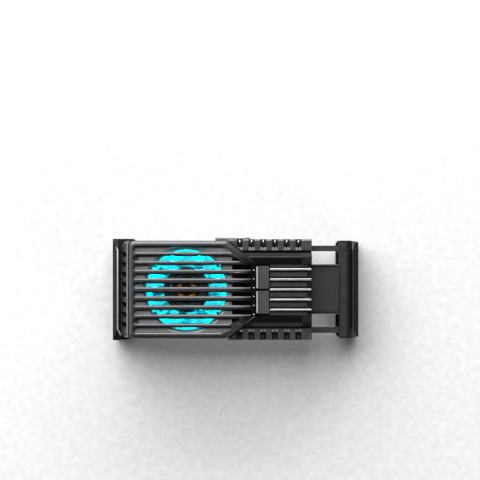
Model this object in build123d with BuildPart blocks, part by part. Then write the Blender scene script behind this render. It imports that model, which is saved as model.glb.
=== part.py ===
from build123d import *
from math import cos, hypot, radians, sin
import os

os.makedirs("parts", exist_ok=True)

# A clamp-on cooling pad for a phone, in millimetres.
# The origin is on the axis of the fan, on the face that touches the phone.
# +X points to the moving jaw, +Y along the phone, +Z away from it, out of the grille.
# The fan sets the width of everything else, and the stack of the cooler sets the heights.

# Fan
blade_tip_r = 13.0
tip_gap = 0.4
mouth_gap = 0.1
frame_wall = 1.2
frame_screw_inset = 2.3
frame_flange_w = 1.8
fan_t = 4.4
fan_floor_t = 0.8
fan_flange_t = 0.6
frame_corner_r = 2.0
strut_w = 1.4
hub_r = 7.6
hub_wall = 1.1
hub_top_t = 0.8
hub_lift = 1.2
hub_sink = 0.2
hub_round = 0.5
hub_window_inset = 2.5
hub_window_turn = 163.0
hub_window_l = 1.8
hub_window_w = 0.9
blade_n = 9
blade_t = 0.45
blade_sink = 0.4
root_chord = 3.6
root_pitch = 40.0
middle_chord = 4.3
middle_pitch = 32.0
middle_turn = 6.0
tip_chord = 5.0
tip_pitch = 26.0
tip_turn = 14.0

# Motor
motor_inset = 1.2
motor_tube_r = 2.6
motor_tube_room = 2.2
shaft_r = 1.0
bearing_gap = 0.05
sleeve_r = 1.9
sleeve_lift = 0.3
sleeve_room = 1.3
magnet_t = 0.85
rotor_gap = 0.3
shoe_t = 0.6
shoe_gap = 1.6
core_lift = 0.6
core_room = 2.8
core_hub_r = 3.5
pole_w = 1.4
coil_end_gap = 0.3
coil_t = 0.6
coil_over = 0.35
bushing_r = 2.9
bushing_h = 0.9
bushing_well_r = 1.65
bushing_well = 0.4

# Lights under the blades
ring_board_t = 0.4
light_n = 8
light_w = 0.8
light_l = 1.6
light_t = 0.3

# Stack from the phone to the grille
contact_t = 0.6
floor_z = 0.8
floor_t = 1.2
flange_t = 0.6
ceramic_t = 0.6
pellet_h = 1.6
sink_base_t = 1.0
fin_h = 2.6
shroud_t = 0.8
slat_t = 1.6

# Housing in plan
wall = 1.2
frame_room = 0.4
flank_proud = 0.7
flank_step = 0.2
corner_r = 2.2
end_wall_t = 1.6

# Cover in plan
cover_proud = 0.2
cover_wall = 1.4
cover_corner_r = 1.9
vent_gap = 0.4
shoulder_lead = 1.5
shoulder_l = 9.6
spine_lead = 0.8
spine_land = 2.3
spine_bevel_y = 1.4
spine_bevel_z = 1.2
spine_wall = 1.2
recess_margin = 0.8
recess_depth = 2.0
deck_t = 1.2

# Heights hung from the top of the grille
skirt_h = 4.2
left_skirt_h = 2.8
spine_drop = 1.4
flank_drop = 3.0
vent_drop = 1.9

# Grille: bars that narrow outwards and bend down towards the badges
slot_rows = 5
long_rows = 3
rim_band = 1.5
bar_flat = 0.7
bar_narrowing = 0.12
bar_round = 0.6
slot_lead = 1.7
fourth_slot_margin = 2.5
fifth_slot_margin = 1.6
slot_corner_run = 2.4
slot_corner_rise = 1.1
slot_end_wall = 1.2
crown_margin = 1.23
crown_drop = 1.0
bezel_r = 1.2

# Castellated flanks
notch_n = 6
notch_lead = 3.0
notch_tail = 4.45
notch_w = 2.0
notch_depth = 3.3
notch_land = 0.2
notch_ramp_w = 0.9
notch_ramp_z = 1.2
notch_fin_t = 0.35
flank_bevel = 0.5
flank_inset = 0.8

# Slanted vent wall
vent_n = 8
vent_margin = 4.475
vent_w = 1.7
vent_len = 3.9
vent_rise = 4.3
vent_run = 2.2
vent_rim_t = 0.4
vent_rim_inset = 0.2

# Clamp and slide arm
travel_open = 14.0
travel_close = 4.0
arm_out = 9.6
slide_gap = 0.1
rail_h = 2.2
rail_inset = 2.2
rail_w = 1.9
rail_inner_x = -10.0
plate_half = 8.4
plate_t = 1.6
plate_lip_h = 0.4
plate_lip_w = 0.45
plate_groove_w = 0.3
plate_groove_d = 0.3
plate_end = 1.5
crossbar_w = 3.7
post_r = 1.5
ear_w = 2.0
ear_reach = 0.8

# Jaws
fixed_pad_reach = 3.0
moving_pad_inset = 0.7
jaw_drop = 8.2
lip_t = 1.4
lip_reach = 1.7
lip_corner_r = 1.5
pad_t = 0.8
jaw_pad_inset = 2.4
fixed_jaw_proud = 0.1
moving_jaw_inset = 0.5
moving_wall_out = 2.6
moving_taper = 0.5
jaw_wall_out = 2.7
rim_step = 0.7
rim_t = 0.6
rim_h = 1.6
rim_bevel_z = 1.7
mitre_w = 3.6
foot_bevel = 1.2
ledge_t = 0.9
moving_rim_rise = 1.2
moving_bevel_z = 1.6
jaw_edge = 0.3
jaw_screw_y = 8.0
jaw_screw_z = 5.0
moving_screw_y = 10.0
cap_top_h = 2.8
cap_lead = 0.2
cap_end = 0.3
cap_flat = 2.2
cap_edge_rise = 0.6
cap_crown_at = 0.75
cap_crown_fall = 0.42
pad_inset_z = 0.4
pad_round = 0.6
pad_groove_n = 5
pad_groove_pitch = 1.3
pad_groove_w = 0.5
pad_groove_d = 0.3

# Cooling stack
plate_boss_inset = 3.2
plate_boss_gap = 0.8
plate_fit = 0.2
window_r = 1.4
pad_inset = 1.0
module_side = 15.0
pellet_rows = 6
pellet_side = 1.2
pellet_margin = 1.15
gasket_gap = 0.2
sink_over = 1.0
sink_cut = 3.8
sink_side_gap = 0.4
sink_tongue_gap = 0.4
sink_tongue_inset = 0.2
fin_t = 0.6
fin_margin = 1.3
fin_side_n = 7
sink_screw_inset = 2.4

# Shroud under the grille
shroud_inset = 0.4
mouth_lip = 1.3

# Board and power inlet; places along X are measured from the board's edge
board_t = 0.8
board_lead = 2.2
board_gap = 0.7
board_tab_gap = 0.3
chip_at = 7.5
chip_side = 5.0
chip_h = 0.9
coil_at = 12.7
coil_y = 6.1
coil_side = 5.2
coil_h = 2.4
driver_l = 3.0
driver_w = 4.0
driver_h = 1.2
capacitor_at = 7.6
capacitor_r = 1.6
capacitor_h = 2.2
capacitor_y = 8.2
plug_at = 2.4
plug_inset = 1.5
plug_l = 2.6
plug_w = 4.0
plug_h = 2.0
block_round = 0.2
socket_gap = 0.28
socket_w = 8.94
socket_h = 3.2
socket_wall = 0.3
socket_fit = 0.1
socket_out = 0.4
tongue_w = 6.7
tongue_t = 0.7
tongue_back = 1.4
inlet_room_w = 0.46
inlet_room_h = 0.5
surround_band_w = 2.5
surround_band_h = 1.5
surround_t = 0.5
surround_r = 2.3

# Springs, pegs and leads
post_room = 0.5
post_foot_drop = 0.6
cover_post_y = 10.5
peg_r = 0.6
peg_foot_r = 1.0
peg_foot_h = 0.9
peg_h = 1.2
peg_gap = 0.2
spring_r = 1.0
spring_gap = 0.5
spring_wire = 0.34
spring_turns = 14
eye_r = 1.0
eye_wire_r = 0.22
eye_lift = 0.35
lead_r = 0.35
lead_bend = 0.5
lead_land = 2.0
lead_pitch = 1.2
module_lead_y = 2.0
fan_lead_bend = 0.7
fan_lead_back = 0.7
fan_lead_rise = 0.8

# Rib insert and badges
badge_fit = 0.4
badge_l = 4.3
badge_gap = 0.7
badge_edge = 0.65
badge_rise = 1.9
badge_bevel = 0.6
rib_fit = 0.3
rib_l = 13.8
rib_end_gap = 0.2
rib_n = 5
rib_margin = 1.84
rib_w = 0.7
rib_h = 1.8
rib_edge = 0.15
rib_base_t = 0.5
low_bar_w = 1.3
low_bar_h = 0.7
low_bar_back = 1.4

# Small fits and screws
screw_r = 0.7
screw_gap = 0.1
thread_gap = 0.02
head_r = 1.3
head_t = 0.8
drive_l = 1.4
drive_w = 0.35
drive_d = 0.8
small_gap = 0.1
cover_gap = 0.3
flank_gap = 0.4
shelf_t = 0.8
ledge_w = 0.7
near = 0.01
level_normal = 0.9

# Levels worked out from the stack
floor_top = floor_z + floor_t
flange_top = floor_top + flange_t
cold_top = flange_top + ceramic_t
pellet_top = cold_top + pellet_h
hot_top = pellet_top + ceramic_t
sink_top = hot_top + sink_base_t
fan_z = sink_top + fin_h
fan_top = fan_z + fan_t
shroud_top = fan_top + shroud_t
top_z = shroud_top + slat_t
seam_z = top_z - skirt_h
left_seam_z = top_z - left_skirt_h
spine_top = top_z - spine_drop
shelf_z = fan_z
recess_z = spine_top - recess_depth
deck_z = recess_z - deck_t
flank_top = top_z - flank_drop
vent_top = top_z - vent_drop
vent_foot = vent_top - vent_rise
foot_z = -(jaw_drop + lip_t)

# Widths worked out from the fan
fan_bore_r = blade_tip_r + tip_gap
fan_mouth_r = fan_bore_r + mouth_gap
fan_half = fan_bore_r + frame_wall
fan_screw_xy = fan_half - frame_screw_inset
fan_flange_r = fan_bore_r - frame_flange_w
ring_board_out = fan_bore_r - small_gap
ring_board_in = fan_flange_r + 2 * small_gap
inner_half = fan_half + frame_room
body_half = inner_half + wall
flank_half = body_half + flank_proud
cover_half = body_half + cover_proud
slot_pitch = (cover_half - rim_band) / slot_rows


def bar_half(row):
    """Half width of a bar of the grille, counted from the middle one."""
    return (bar_flat - row * bar_narrowing) / 2 + bar_round


def slot_low(row):
    """Lower side of a slot."""
    return row * slot_pitch + bar_half(row)


def slot_high(row):
    """Upper side of a slot."""
    return (row + 1) * slot_pitch - bar_half(row + 1)


crown_end_half = slot_high(long_rows - 1) + crown_margin
recess_half = crown_end_half - recess_margin
spine_half = recess_half + spine_land + spine_bevel_y
spine_in = spine_half - spine_wall
flank_inner = spine_half + flank_inset
notch_ramp_y0 = flank_inner + notch_land
notch_ramp_y1 = notch_ramp_y0 + notch_ramp_w
ledge_y = flank_inner - ledge_w
rail_out = flank_half - rail_inset
rail_in = rail_out - rail_w
rail_channel = rail_out + slide_gap
spring_y = rail_in - spring_gap - spring_r
guide_in = plate_half + slide_gap
guide_out = rail_in - slide_gap
flange_y = 2 * (spring_y - spring_r - spring_gap)
plate_boss_y = 2 * (rail_in - plate_boss_gap)
board_half = flank_inner - small_gap
plug_y = plug_inset - spine_in
sink_half = inner_half - sink_side_gap
fin_pitch = (sink_half - fin_margin) / fin_side_n
sink_tongue_half = flange_y / 2 - sink_tongue_inset
board_tab_y = sink_tongue_half + board_tab_gap
socket_y0 = board_tab_y + 2 * small_gap
socket_y1 = flank_half + socket_out
vent_pitch = 2 * (body_half - vent_margin) / (vent_n - 1)
rib_pitch = 2 * (recess_half - rib_margin) / (rib_n - 1)
badge_h = recess_half - badge_gap / 2 - badge_edge
fixed_jaw_half = flank_half + fixed_jaw_proud
moving_jaw_half = flank_half - moving_jaw_inset
jaw_pad_half = moving_jaw_half - jaw_pad_inset
mitre_y = flank_half - mitre_w

# Places along X worked out from the fan
sink_x0 = -fan_half - sink_over
sink_x1 = fan_half - sink_cut
cover_left = sink_x0 - post_room - 2 * post_r
body_left = cover_left - vent_gap - vent_rim_t - vent_run
inner_left = body_left + wall
flank_x0 = fan_half + flank_step
shoulder_x = flank_x0 - shoulder_lead
crown_end_x = shoulder_x + shoulder_l
spine_x0 = flank_x0 + spine_lead
shroud_right = spine_x0 - shroud_inset
sink_tongue_x = flank_x0 - sink_tongue_gap
flange_x = 2 * fan_half
plate_boss_x = flange_x - plate_boss_inset
sink_screw_x = flange_x / 2 - sink_screw_inset
sink_screw_y = flange_y / 2 - sink_screw_inset
badge_x0 = crown_end_x + badge_fit
badge_x1 = badge_x0 + badge_l
rib_x0 = badge_x1 + rib_fit
rib_x1 = rib_x0 + rib_l
low_bar_x1 = rib_x1 - low_bar_back
body_right = rib_x1 + rib_end_gap
notch_x0 = flank_x0 + notch_lead
notch_pitch = (body_right - notch_tail - notch_x0) / (notch_n - 1)
slot_left_x = cover_left + slot_lead
stop_post_x = flange_x / 2 + cover_gap + travel_close + plate_end + travel_open + post_r + slide_gap
slot_stop_x0 = stop_post_x - travel_open - post_r - slide_gap
slot_stop_x1 = stop_post_x + travel_close + post_r + slide_gap
plate_inner_x = slot_stop_x0 - plate_end
ear_x = slot_stop_x0
board_x0 = flank_x0 + board_lead
board_x1 = stop_post_x - post_r - board_gap
board_tab_x = sink_x1 + 2 * small_gap
socket_x = sink_x1 + socket_w / 2 + socket_gap
plug_x = board_x0 + plug_at
fan_lead_x = board_x0 - fan_lead_back
crossbar_x0 = body_right + arm_out
crossbar_x1 = crossbar_x0 + crossbar_w
fixed_pad_x = body_left + fixed_pad_reach
moving_pad_x = crossbar_x0 + moving_pad_inset
moving_out_x = crossbar_x1 + moving_wall_out
cap_x0 = crossbar_x0 - cap_lead
cap_x1 = crossbar_x1

# Small parts worked out from their neighbours
motor_r = hub_r - motor_inset
motor_tube_h = fan_t - motor_tube_room
sleeve_h = fan_t - sleeve_room
core_h = fan_t - core_room
magnet_out_r = hub_r - hub_wall - bearing_gap
shoe_out_r = magnet_out_r - magnet_t - rotor_gap
shoe_in_r = shoe_out_r - shoe_t
coil_w = shoe_in_r - core_hub_r - coil_end_gap
hub_window_at = hub_r - hub_window_inset
pellet_pitch = (module_side - 2 * pellet_margin - pellet_side) / (pellet_rows - 1)
inlet_w = socket_w + inlet_room_w
inlet_h = socket_h + inlet_room_h
surround_w = inlet_w + surround_band_w
surround_h = inlet_h + surround_band_h
mouth_top_r = fan_mouth_r + mouth_lip
arm_z = floor_top + slide_gap
rail_top = arm_z + rail_h
rail_roof = rail_top + slide_gap
plate_top = arm_z + plate_t
board_top = fan_z - small_gap - socket_h
board_z = board_top - board_t
inlet_z = board_top + socket_h / 2
shoulder_slope = (cover_half - crown_end_half) / shoulder_l
shoulder_run = hypot(1, shoulder_slope)


def shoulder_y(x, inset):
    """Half width of the cover's diagonal shoulder at x, set in from its outline."""
    return cover_half - (x - shoulder_x) * shoulder_slope - inset * shoulder_run


def shoulder_x_at(y, inset):
    """Place along X where the diagonal shoulder, set in from its outline, is y wide."""
    return shoulder_x + (cover_half - inset * shoulder_run - y) / shoulder_slope


# Places that several pieces share
ear_top = arm_z + peg_foot_h
peg_top = ear_top + peg_h
spring_z = ear_top + eye_lift
cavity_x1 = crown_end_x - slot_end_wall
crown_points = [(cover_left, cover_half), (shoulder_x, cover_half), (crown_end_x, crown_end_half)]
crown_cavity = [
    (cover_left + cover_wall, cover_half - cover_wall),
    (shoulder_x_at(cover_half - cover_wall, cover_wall), cover_half - cover_wall),
    (spine_x0, shoulder_y(spine_x0, cover_wall)),
]
shroud_half = cover_half - cover_wall - small_gap
shroud_points = [
    (cover_left + cover_wall + small_gap, shroud_half),
    (shoulder_x_at(shroud_half, cover_wall + cover_gap), shroud_half),
    (shroud_right, shoulder_y(shroud_right, cover_wall + cover_gap)),
]
flank_points = [
    (shoulder_x_at(flank_half, -flank_gap), flank_half),
    (body_right, flank_half),
    (body_right, flank_inner),
    (shoulder_x_at(flank_inner, -flank_gap), flank_inner),
]
cover_post_x = cover_left + post_r
cover_posts = [(cover_post_x, cover_post_y), (cover_post_x, -cover_post_y)]
post_top = seam_z - post_foot_drop
anchor_x = -(plate_boss_x / 2 + plate_fit + peg_foot_r + peg_gap)
anchors = [(anchor_x, spring_y), (anchor_x, -spring_y)]
notch_planes = [Plane.YZ.offset(notch_x0 + i * notch_pitch) for i in range(notch_n)]
slope_len = hypot(vent_run, vent_rise)
vent_plane = Plane(
    origin=(body_left + vent_run / 2, 0, vent_foot + vent_rise / 2),
    x_dir=(0, 1, 0),
    z_dir=(-vent_rise / slope_len, 0, vent_run / slope_len),
)
fourth_slot_end = shoulder_x_at(slot_high(long_rows) - slot_corner_rise, fourth_slot_margin)
fifth_slot_end = shoulder_x_at(slot_high(long_rows + 1) - slot_corner_rise, fifth_slot_margin)
slot_ends = long_rows * [cavity_x1] + [fourth_slot_end, fifth_slot_end]
badge_top = recess_z + badge_rise
sleeve_z = fan_z + sleeve_lift
core_z = fan_z + fan_floor_t + core_lift
hub_z = fan_z + hub_lift
hub_top = fan_top + hub_sink
bushing_z = hub_top - bushing_h - small_gap
blade_z = (hub_z + hub_top) / 2 + small_gap
blade_sections = [
    (hub_r - blade_sink, 0, root_chord, root_pitch),
    ((hub_r + blade_tip_r) / 2, middle_turn, middle_chord, middle_pitch),
    (blade_tip_r, tip_turn, tip_chord, tip_pitch),
]
sink_screw_places = [(sx * sink_screw_x, sy * sink_screw_y) for sx in (1, -1) for sy in (1, -1)]
fan_lead_z = fan_z + fan_lead_rise
module_lead_places = [(module_lead_y, pellet_top), (-module_lead_y, pellet_top)]
board_blocks = [
    (board_x0 + chip_at, 0, chip_side, chip_side, chip_h),
    (board_x0 + coil_at, coil_y, coil_side, coil_side, coil_h),
    (board_x0 + coil_at, -coil_y, driver_l, driver_w, driver_h),
    (plug_x, plug_y, plug_l, plug_w, plug_h),
]
capacitor_places = [(board_x0 + capacitor_at, side * capacitor_y) for side in (1, -1)]
rim_in = body_left - rim_step
rim_z = vent_foot - rim_t + rim_h
fixed_out_x = body_left - jaw_wall_out
moving_screw_x = (crossbar_x0 + crossbar_x1) / 2
moving_screws = [(moving_screw_x, moving_screw_y), (moving_screw_x, -moving_screw_y)]
ledge_z = rail_top + ledge_t
moving_rim_z = ledge_z + moving_rim_rise
cap_top = ledge_z + cap_top_h
cap_flat_x = cap_x0 + cap_flat
cap_edge_z = ledge_z + cap_edge_rise
pad_top_z = -pad_inset_z
pad_foot_z = pad_inset_z - jaw_drop


def both_sides(points):
    """An outline drawn on the +Y side, closed by its mirror image."""
    return points + [(x, -y) for x, y in reversed(points)]


# Slanted vent wall beside the fixed jaw, joined to the base shell below

vent_box = flank_x0 - body_left
rim_x = body_left + vent_run
rim_half = body_half - vent_rim_inset

with BuildPart() as vent_wall:
    with BuildSketch(Plane.XY.offset(vent_foot)):
        with Locations((body_left + vent_box / 2, 0)):
            RectangleRounded(vent_box, 2 * body_half, corner_r)
    with BuildSketch(Plane.XY.offset(vent_top)):
        with Locations((rim_x + vent_box / 2, 0)):
            RectangleRounded(vent_box, 2 * rim_half, corner_r)
    loft(ruled=True)
    with BuildSketch(Plane.XY.offset(vent_foot)):
        with Locations((inner_left + vent_box / 2, 0)):
            RectangleRounded(vent_box, 2 * inner_half, corner_r - wall)
    with BuildSketch(Plane.XY.offset(vent_top)):
        with Locations((rim_x + vent_rim_t + vent_box / 2, 0)):
            RectangleRounded(vent_box, 2 * (rim_half - vent_rim_t), corner_r - wall)
    loft(ruled=True, mode=Mode.SUBTRACT)
    with BuildSketch(Plane.XY.offset(vent_foot)):
        with Locations((cover_left - cover_gap + vent_box, 0)):
            Rectangle(2 * vent_box, 3 * body_half)
    extrude(amount=vent_rise, mode=Mode.SUBTRACT)

# Base shell: floor, walls, castellated flanks, posts, pegs and the inlet's seat

with BuildPart() as base_shell:
    with BuildSketch(Plane.XY.offset(floor_z)):
        with Locations(((body_left + flank_x0) / 2 + corner_r, 0)):
            RectangleRounded(flank_x0 - body_left + 2 * corner_r, 2 * body_half, corner_r)
        with Locations(((flank_x0 + body_right) / 2, 0)):
            Rectangle(body_right - flank_x0, 2 * flank_half)
    extrude(amount=floor_t)
    # Walls round the fan, open towards the flanks
    with BuildSketch(Plane.XY.offset(floor_top)):
        with Locations(((body_left + flank_x0) / 2 + corner_r, 0)):
            RectangleRounded(flank_x0 - body_left + 2 * corner_r, 2 * body_half, corner_r)
        with Locations((inner_left + vent_box, 0)):
            RectangleRounded(2 * vent_box, 2 * inner_half, corner_r - wall, mode=Mode.SUBTRACT)
        with Locations((flank_x0 + vent_box, 0)):
            Rectangle(2 * vent_box, 3 * body_half, mode=Mode.SUBTRACT)
    extrude(amount=vent_foot - floor_top)
    with BuildSketch(Plane.XY.offset(vent_foot)):
        for side in (1, -1):
            with Locations(((cover_left + flank_x0) / 2, side * (body_half - wall / 2))):
                Rectangle(flank_x0 - cover_left + 2 * cover_gap, wall)
    extrude(amount=seam_z - vent_foot)
    add(vent_wall.part)
    with BuildSketch(vent_plane):
        with GridLocations(vent_pitch, 1, vent_n, 1):
            SlotOverall(vent_len, vent_w, rotation=90)
    extrude(amount=2 * wall, both=True, mode=Mode.SUBTRACT)
    # Outer walls beside the rails, then the flanks over them
    with BuildSketch(Plane.XY.offset(floor_top)):
        for side in (1, -1):
            with Locations(((flank_x0 + body_right) / 2, side * (rail_channel + flank_half) / 2)):
                Rectangle(body_right - flank_x0, flank_half - rail_channel)
    extrude(amount=rail_roof - floor_top)
    with BuildSketch(Plane.XY.offset(rail_roof)):
        for side in (1, -1):
            with Locations(((flank_x0 + body_right) / 2, side * (flank_inner + flank_half) / 2)):
                Rectangle(body_right - flank_x0, flank_half - flank_inner)
    extrude(amount=seam_z - rail_roof)
    with BuildSketch(Plane.XY.offset(seam_z)):
        with BuildLine():
            Polyline(flank_points, close=True)
        make_face()
        mirror(about=Plane.XZ)
    extrude(amount=flank_top - seam_z)
    flank_tops = [f for f in base_shell.faces() if abs(f.center().Z - flank_top) < near]
    outer_edges = [
        e
        for f in flank_tops
        for e in f.edges()
        if abs(abs(e.center().Y) - flank_half) < near
    ]
    chamfer(outer_edges, length=flank_bevel)
    # Notches with a ramp at their inner end and a thin fin in each
    with BuildSketch(*notch_planes):
        with BuildLine():
            Polyline(
                (notch_ramp_y0, flank_top + notch_ramp_z),
                (notch_ramp_y0, flank_top),
                (notch_ramp_y1, flank_top - notch_ramp_z),
                (notch_ramp_y1, flank_top - notch_depth),
                (flank_half + notch_w, flank_top - notch_depth),
                (flank_half + notch_w, flank_top + notch_ramp_z),
                close=True,
            )
        make_face()
        mirror(about=Plane.YZ)
    extrude(amount=notch_w / 2, both=True, mode=Mode.SUBTRACT)
    with BuildSketch(*notch_planes):
        with BuildLine():
            Polyline(
                (notch_ramp_y1 - notch_fin_t, flank_top - notch_depth - notch_fin_t),
                (notch_ramp_y1 - notch_fin_t, flank_top - notch_ramp_z - 2 * flank_bevel),
                (flank_half - 2 * flank_bevel, flank_top - flank_bevel),
                (flank_half - flank_bevel / 2, flank_top - 2 * flank_bevel),
                (flank_half - flank_bevel / 2, flank_top - notch_depth - notch_fin_t),
                close=True,
            )
        make_face()
        mirror(about=Plane.YZ)
    extrude(amount=notch_fin_t / 2, both=True)
    # End wall over the arm, guides between its plate and rails, shelf under the cover's spine
    with BuildSketch(Plane.XY.offset(rail_roof)):
        with Locations((body_right - end_wall_t / 2, 0)):
            Rectangle(end_wall_t, 2 * flank_inner)
    extrude(amount=shelf_z - rail_roof)
    with BuildSketch(Plane.XY.offset(floor_top)):
        for side in (1, -1):
            with Locations((body_right - end_wall_t / 2, side * (guide_in + guide_out) / 2)):
                Rectangle(end_wall_t, guide_out - guide_in)
    extrude(amount=rail_roof - floor_top)
    with BuildSketch(Plane.XY.offset(shelf_z - shelf_t)):
        for side in (1, -1):
            with Locations(((spine_x0 + body_right) / 2, side * (spine_in + flank_inner) / 2)):
                Rectangle(body_right - spine_x0, flank_inner - spine_in)
    extrude(amount=shelf_t)
    # Ledges that carry the board
    with BuildSketch(Plane.XY.offset(rail_roof)):
        for side in (1, -1):
            with Locations(((flank_x0 + board_x1) / 2, side * (ledge_y + flank_inner) / 2)):
                Rectangle(board_x1 - flank_x0, flank_inner - ledge_y)
    extrude(amount=board_z - rail_roof)
    # Posts for the cover's screws and pegs for the springs
    with BuildSketch(Plane.XY.offset(floor_top)):
        with Locations(*cover_posts):
            Circle(post_r)
    extrude(amount=post_top - floor_top)
    with BuildSketch(Plane.XY.offset(floor_top)):
        with Locations((stop_post_x, 0)):
            Circle(post_r)
    extrude(amount=deck_z - floor_top)
    with BuildSketch(Plane.XY.offset(floor_top)):
        with Locations(*anchors):
            Circle(peg_foot_r)
    extrude(amount=ear_top - floor_top)
    with BuildSketch(Plane.XY.offset(ear_top)):
        with Locations(*anchors):
            Circle(peg_r)
    extrude(amount=peg_top - ear_top)
    # Seat of the inlet's surround, then the way through for the socket
    with BuildSketch(Plane.XY.offset(inlet_z - surround_h / 2)):
        with Locations(((socket_x - surround_w / 2 + flank_x0) / 2, (inner_half + flank_half) / 2)):
            Rectangle(flank_x0 - socket_x + surround_w / 2, flank_half - inner_half)
    extrude(amount=surround_h)
    with BuildSketch(Plane.XY.offset(board_top - socket_fit)):
        with Locations((socket_x, (board_tab_y + 2 * flank_half) / 2)):
            Rectangle(socket_w + 2 * socket_fit, 2 * flank_half - board_tab_y)
    extrude(amount=socket_h + 2 * socket_fit, mode=Mode.SUBTRACT)
    # Window for the cold plate and holes for the screws
    with BuildSketch(Plane.XY.offset(floor_z)):
        RectangleRounded(plate_boss_x + 2 * plate_fit, plate_boss_y + 2 * plate_fit, window_r)
    extrude(amount=floor_t, mode=Mode.SUBTRACT)
    with BuildSketch(Plane.XY.offset(floor_z)):
        with Locations(*cover_posts, (stop_post_x, 0)):
            Circle(head_r + screw_gap)
    extrude(amount=head_t + screw_gap, mode=Mode.SUBTRACT)
    with BuildSketch(Plane.XY.offset(floor_z)):
        with Locations(*cover_posts, (stop_post_x, 0)):
            Circle(screw_r + screw_gap)
    extrude(amount=deck_z - floor_z, mode=Mode.SUBTRACT)
    with BuildSketch(Plane.YZ.offset(body_left)):
        with Locations((jaw_screw_y, jaw_screw_z), (-jaw_screw_y, jaw_screw_z)):
            Circle(screw_r + screw_gap)
    extrude(amount=wall, mode=Mode.SUBTRACT)
base_shell.part.label = "base_shell"
export_step(base_shell.part, "parts/base_shell.step")

# Front cover: louvred crown with its shoulders, spine and recess

with BuildPart() as spine_body:
    with BuildSketch(Plane.YZ.offset(spine_x0)):
        with BuildLine():
            Polyline(
                (-spine_half, shelf_z),
                (-spine_half, spine_top - spine_bevel_z),
                (spine_bevel_y - spine_half, spine_top),
                (spine_half - spine_bevel_y, spine_top),
                (spine_half, spine_top - spine_bevel_z),
                (spine_half, shelf_z),
                close=True,
            )
        make_face()
    extrude(amount=body_right - spine_x0)

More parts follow.
